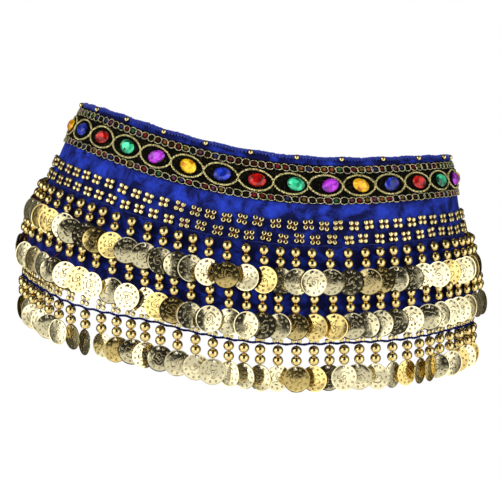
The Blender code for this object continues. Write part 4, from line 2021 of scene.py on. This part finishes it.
@dataclass
class Studio:
    """The pale floor, the soft light and the camera of the photograph."""

    camera_place: tuple[float, float, float] = (0.0, -1.1, 0.029)
    camera_down: float = 0.0835
    focal: float = 1304.64 * 36 / 500
    floor_level: float = -0.42
    floor_half: float = 0.6
    floor_colour: str = "#F0F0F0"
    # The tent's walls, as strengths of its light. The edges of the gap, the roof and the
    # windows are parts of a direction's length.
    tent: float = 1.0
    far_wall: float = 0.12
    low_wall: float = 0.75
    gap_middle: float = 0.06
    gap_half: float = 0.56
    gap_foot: float = -0.12
    roof_from: float = 0.55
    darkest: float = 0.015
    soft: float = 0.06
    roof_fade: float = 0.25
    roof_open: float = 0.15
    window_from: float = 0.80
    window_full: float = 0.93
    windows: tuple[tuple[tuple[float, float, float], float], ...] = (
        ((-0.80, -0.45, 0.25), 2.0),
        ((0.82, -0.48, -0.20), 1.9),
    )

    def place_camera(self) -> None:
        """Puts the camera where the photograph was taken from."""
        data = bpy.data.cameras.new("camera")
        data.sensor_width = 36.0
        data.lens = self.focal
        camera = bpy.data.objects.new("camera", data)
        camera.location = self.camera_place
        camera.rotation_euler = (math.pi / 2 - self.camera_down, 0, 0)
        bpy.context.scene.collection.objects.link(camera)
        bpy.context.scene.camera = camera

    def light_tent(self) -> None:
        """Surrounds the scarf with a white tent that has a dark gap at the front."""
        world = bpy.data.worlds.new("light_tent")
        world.use_nodes = True
        bpy.context.scene.world = world
        tree = world.node_tree
        sky = tree.nodes["Background"]
        way = add_node(tree, "ShaderNodeTexCoord")
        x, y, z = add_node(tree, "ShaderNodeSeparateXYZ", None, way.outputs["Generated"]).outputs
        # The gap between the two front walls, where the photographer stands.
        off_gap = add_node(tree, MATH, PLUS, x, -self.gap_middle)
        off_gap = add_node(tree, MATH, {"operation": "ABSOLUTE"}, off_gap)
        off_gap = add_node(tree, MATH, {"operation": "MULTIPLY_ADD"}, y, self.gap_half, off_gap)
        walls = add_node(tree, RANGE, SOFT_STEP, off_gap, -0.08, 0.02)
        foot, soft = self.gap_foot, self.soft
        under = add_node(tree, RANGE, SOFT_STEP, z, foot - soft, foot + soft, 1.0, 0.0)
        walls = add_node(tree, MATH, MOST, walls, under)
        behind = add_node(tree, RANGE, SOFT_STEP, y, -0.3, 0.3, 1.0, self.far_wall)
        upper = add_node(tree, RANGE, SOFT_STEP, z, -0.25, 0.0, self.low_wall, 1.0)
        start, end = self.roof_from, self.roof_from + self.roof_fade
        open_top = add_node(tree, RANGE, SOFT_STEP, z, start, end, 1.0, self.roof_open)
        level = walls
        for share in (behind, upper, self.tent, open_top):
            level = add_node(tree, MATH, TIMES, level, share)
        for direction, brighter in self.windows:
            facing = add_node(tree, "ShaderNodeVectorMath", {"operation": "DOT_PRODUCT"})
            facing.inputs[1].default_value = Vector(direction).normalized()
            tree.links.new(way.outputs["Generated"], facing.inputs[0])
            near, full = self.window_from, self.window_full
            facing = facing.outputs["Value"]
            window = add_node(tree, RANGE, SOFT_STEP, facing, near, full, 1.0, brighter)
            level = add_node(tree, MATH, TIMES, level, window)
        level = add_node(tree, MATH, MOST, level, self.darkest)
        seen = add_node(tree, "ShaderNodeLightPath")
        level = add_node(tree, MATH, MOST, level, seen.outputs["Is Camera Ray"])
        sky.inputs["Color"].default_value = (1, 1, 1, 1)
        tree.links.new(level.outputs[0], sky.inputs["Strength"])

    def lamps(self) -> None:
        """Hangs four soft boxes: above left, right, behind and in front."""
        for name, place, size, power in (
            ("key", (-0.75, -0.85, 0.95), 0.55, 16.0),
            ("fill", (0.95, -0.75, 0.35), 0.6, 5.0),
            ("back", (0.1, 1.1, 0.8), 0.8, 14.0),
            ("front", (0.0, -1.4, 0.2), 0.5, 7.0),
        ):
            data = bpy.data.lights.new(name, "AREA")
            data.size = size
            data.energy = power
            lamp = bpy.data.objects.new(name, data)
            lamp.location = place
            # The lamps light the cloth and the silks. The metal mirrors the tent alone.
            lamp.visible_glossy = False
            aim = Vector((0, 0, -0.06)) - Vector(place)
            lamp.rotation_euler = aim.to_track_quat("-Z", "Y").to_euler()
            bpy.context.scene.collection.objects.link(lamp)

    def floor(self) -> None:
        """Lays the pale floor well below the scarf."""
        bm = bmesh.new()
        bmesh.ops.create_grid(bm, x_segments=1, y_segments=1, size=self.floor_half)
        bmesh.ops.translate(bm, verts=bm.verts, vec=(0, 0, self.floor_level))
        data = bpy.data.meshes.new("floor")
        bm.to_mesh(data)
        bm.free()
        floor = bpy.data.objects.new("floor", data)
        paper, tree, shader = Finish("pale_paper", "", "#FFFFFF", "#FFFFFF", 0.9).start()
        shader.inputs["Base Color"].default_value = linear(self.floor_colour)
        shader.inputs["Emission Color"].default_value = linear("#FFFFFF")
        seen = add_node(tree, "ShaderNodeLightPath")
        tree.links.new(seen.outputs["Is Camera Ray"], shader.inputs["Emission Strength"])
        data.materials.append(paper)
        bpy.context.scene.collection.objects.link(floor)

    def build(self) -> None:
        """Sets up the studio."""
        self.place_camera()
        self.light_tent()
        self.lamps()
        self.floor()
        bpy.context.scene.view_settings.view_transform = "Standard"


def main() -> None:
    """Builds the scarf's pieces in order."""
    logging.basicConfig(level=logging.INFO, format="%(message)s")
    form = HipForm()
    shop = Workshop()
    Studio().build()
    panel = VelvetPanel(form, shop)
    cloth = panel.build()
    trim = panel.trim_top() + [panel.trim_hem()]
    band = JewelBand(form, shop)
    braid = band.build()
    jewels = [band.rings(), band.ovals(), *band.stones()]
    clusters = SeedClusters(form, shop)
    trim += clusters.build("cluster", clusters.places())
    for row in ROWS:
        trim += CoinFringe(form, shop, row).build()
    trim += Ties(form, shop).build()
    braid_length = float(2 * band.ruler.along[-1])
    LOG.info("%d pieces", len(shop.made))


if __name__ == "__main__":
    main()
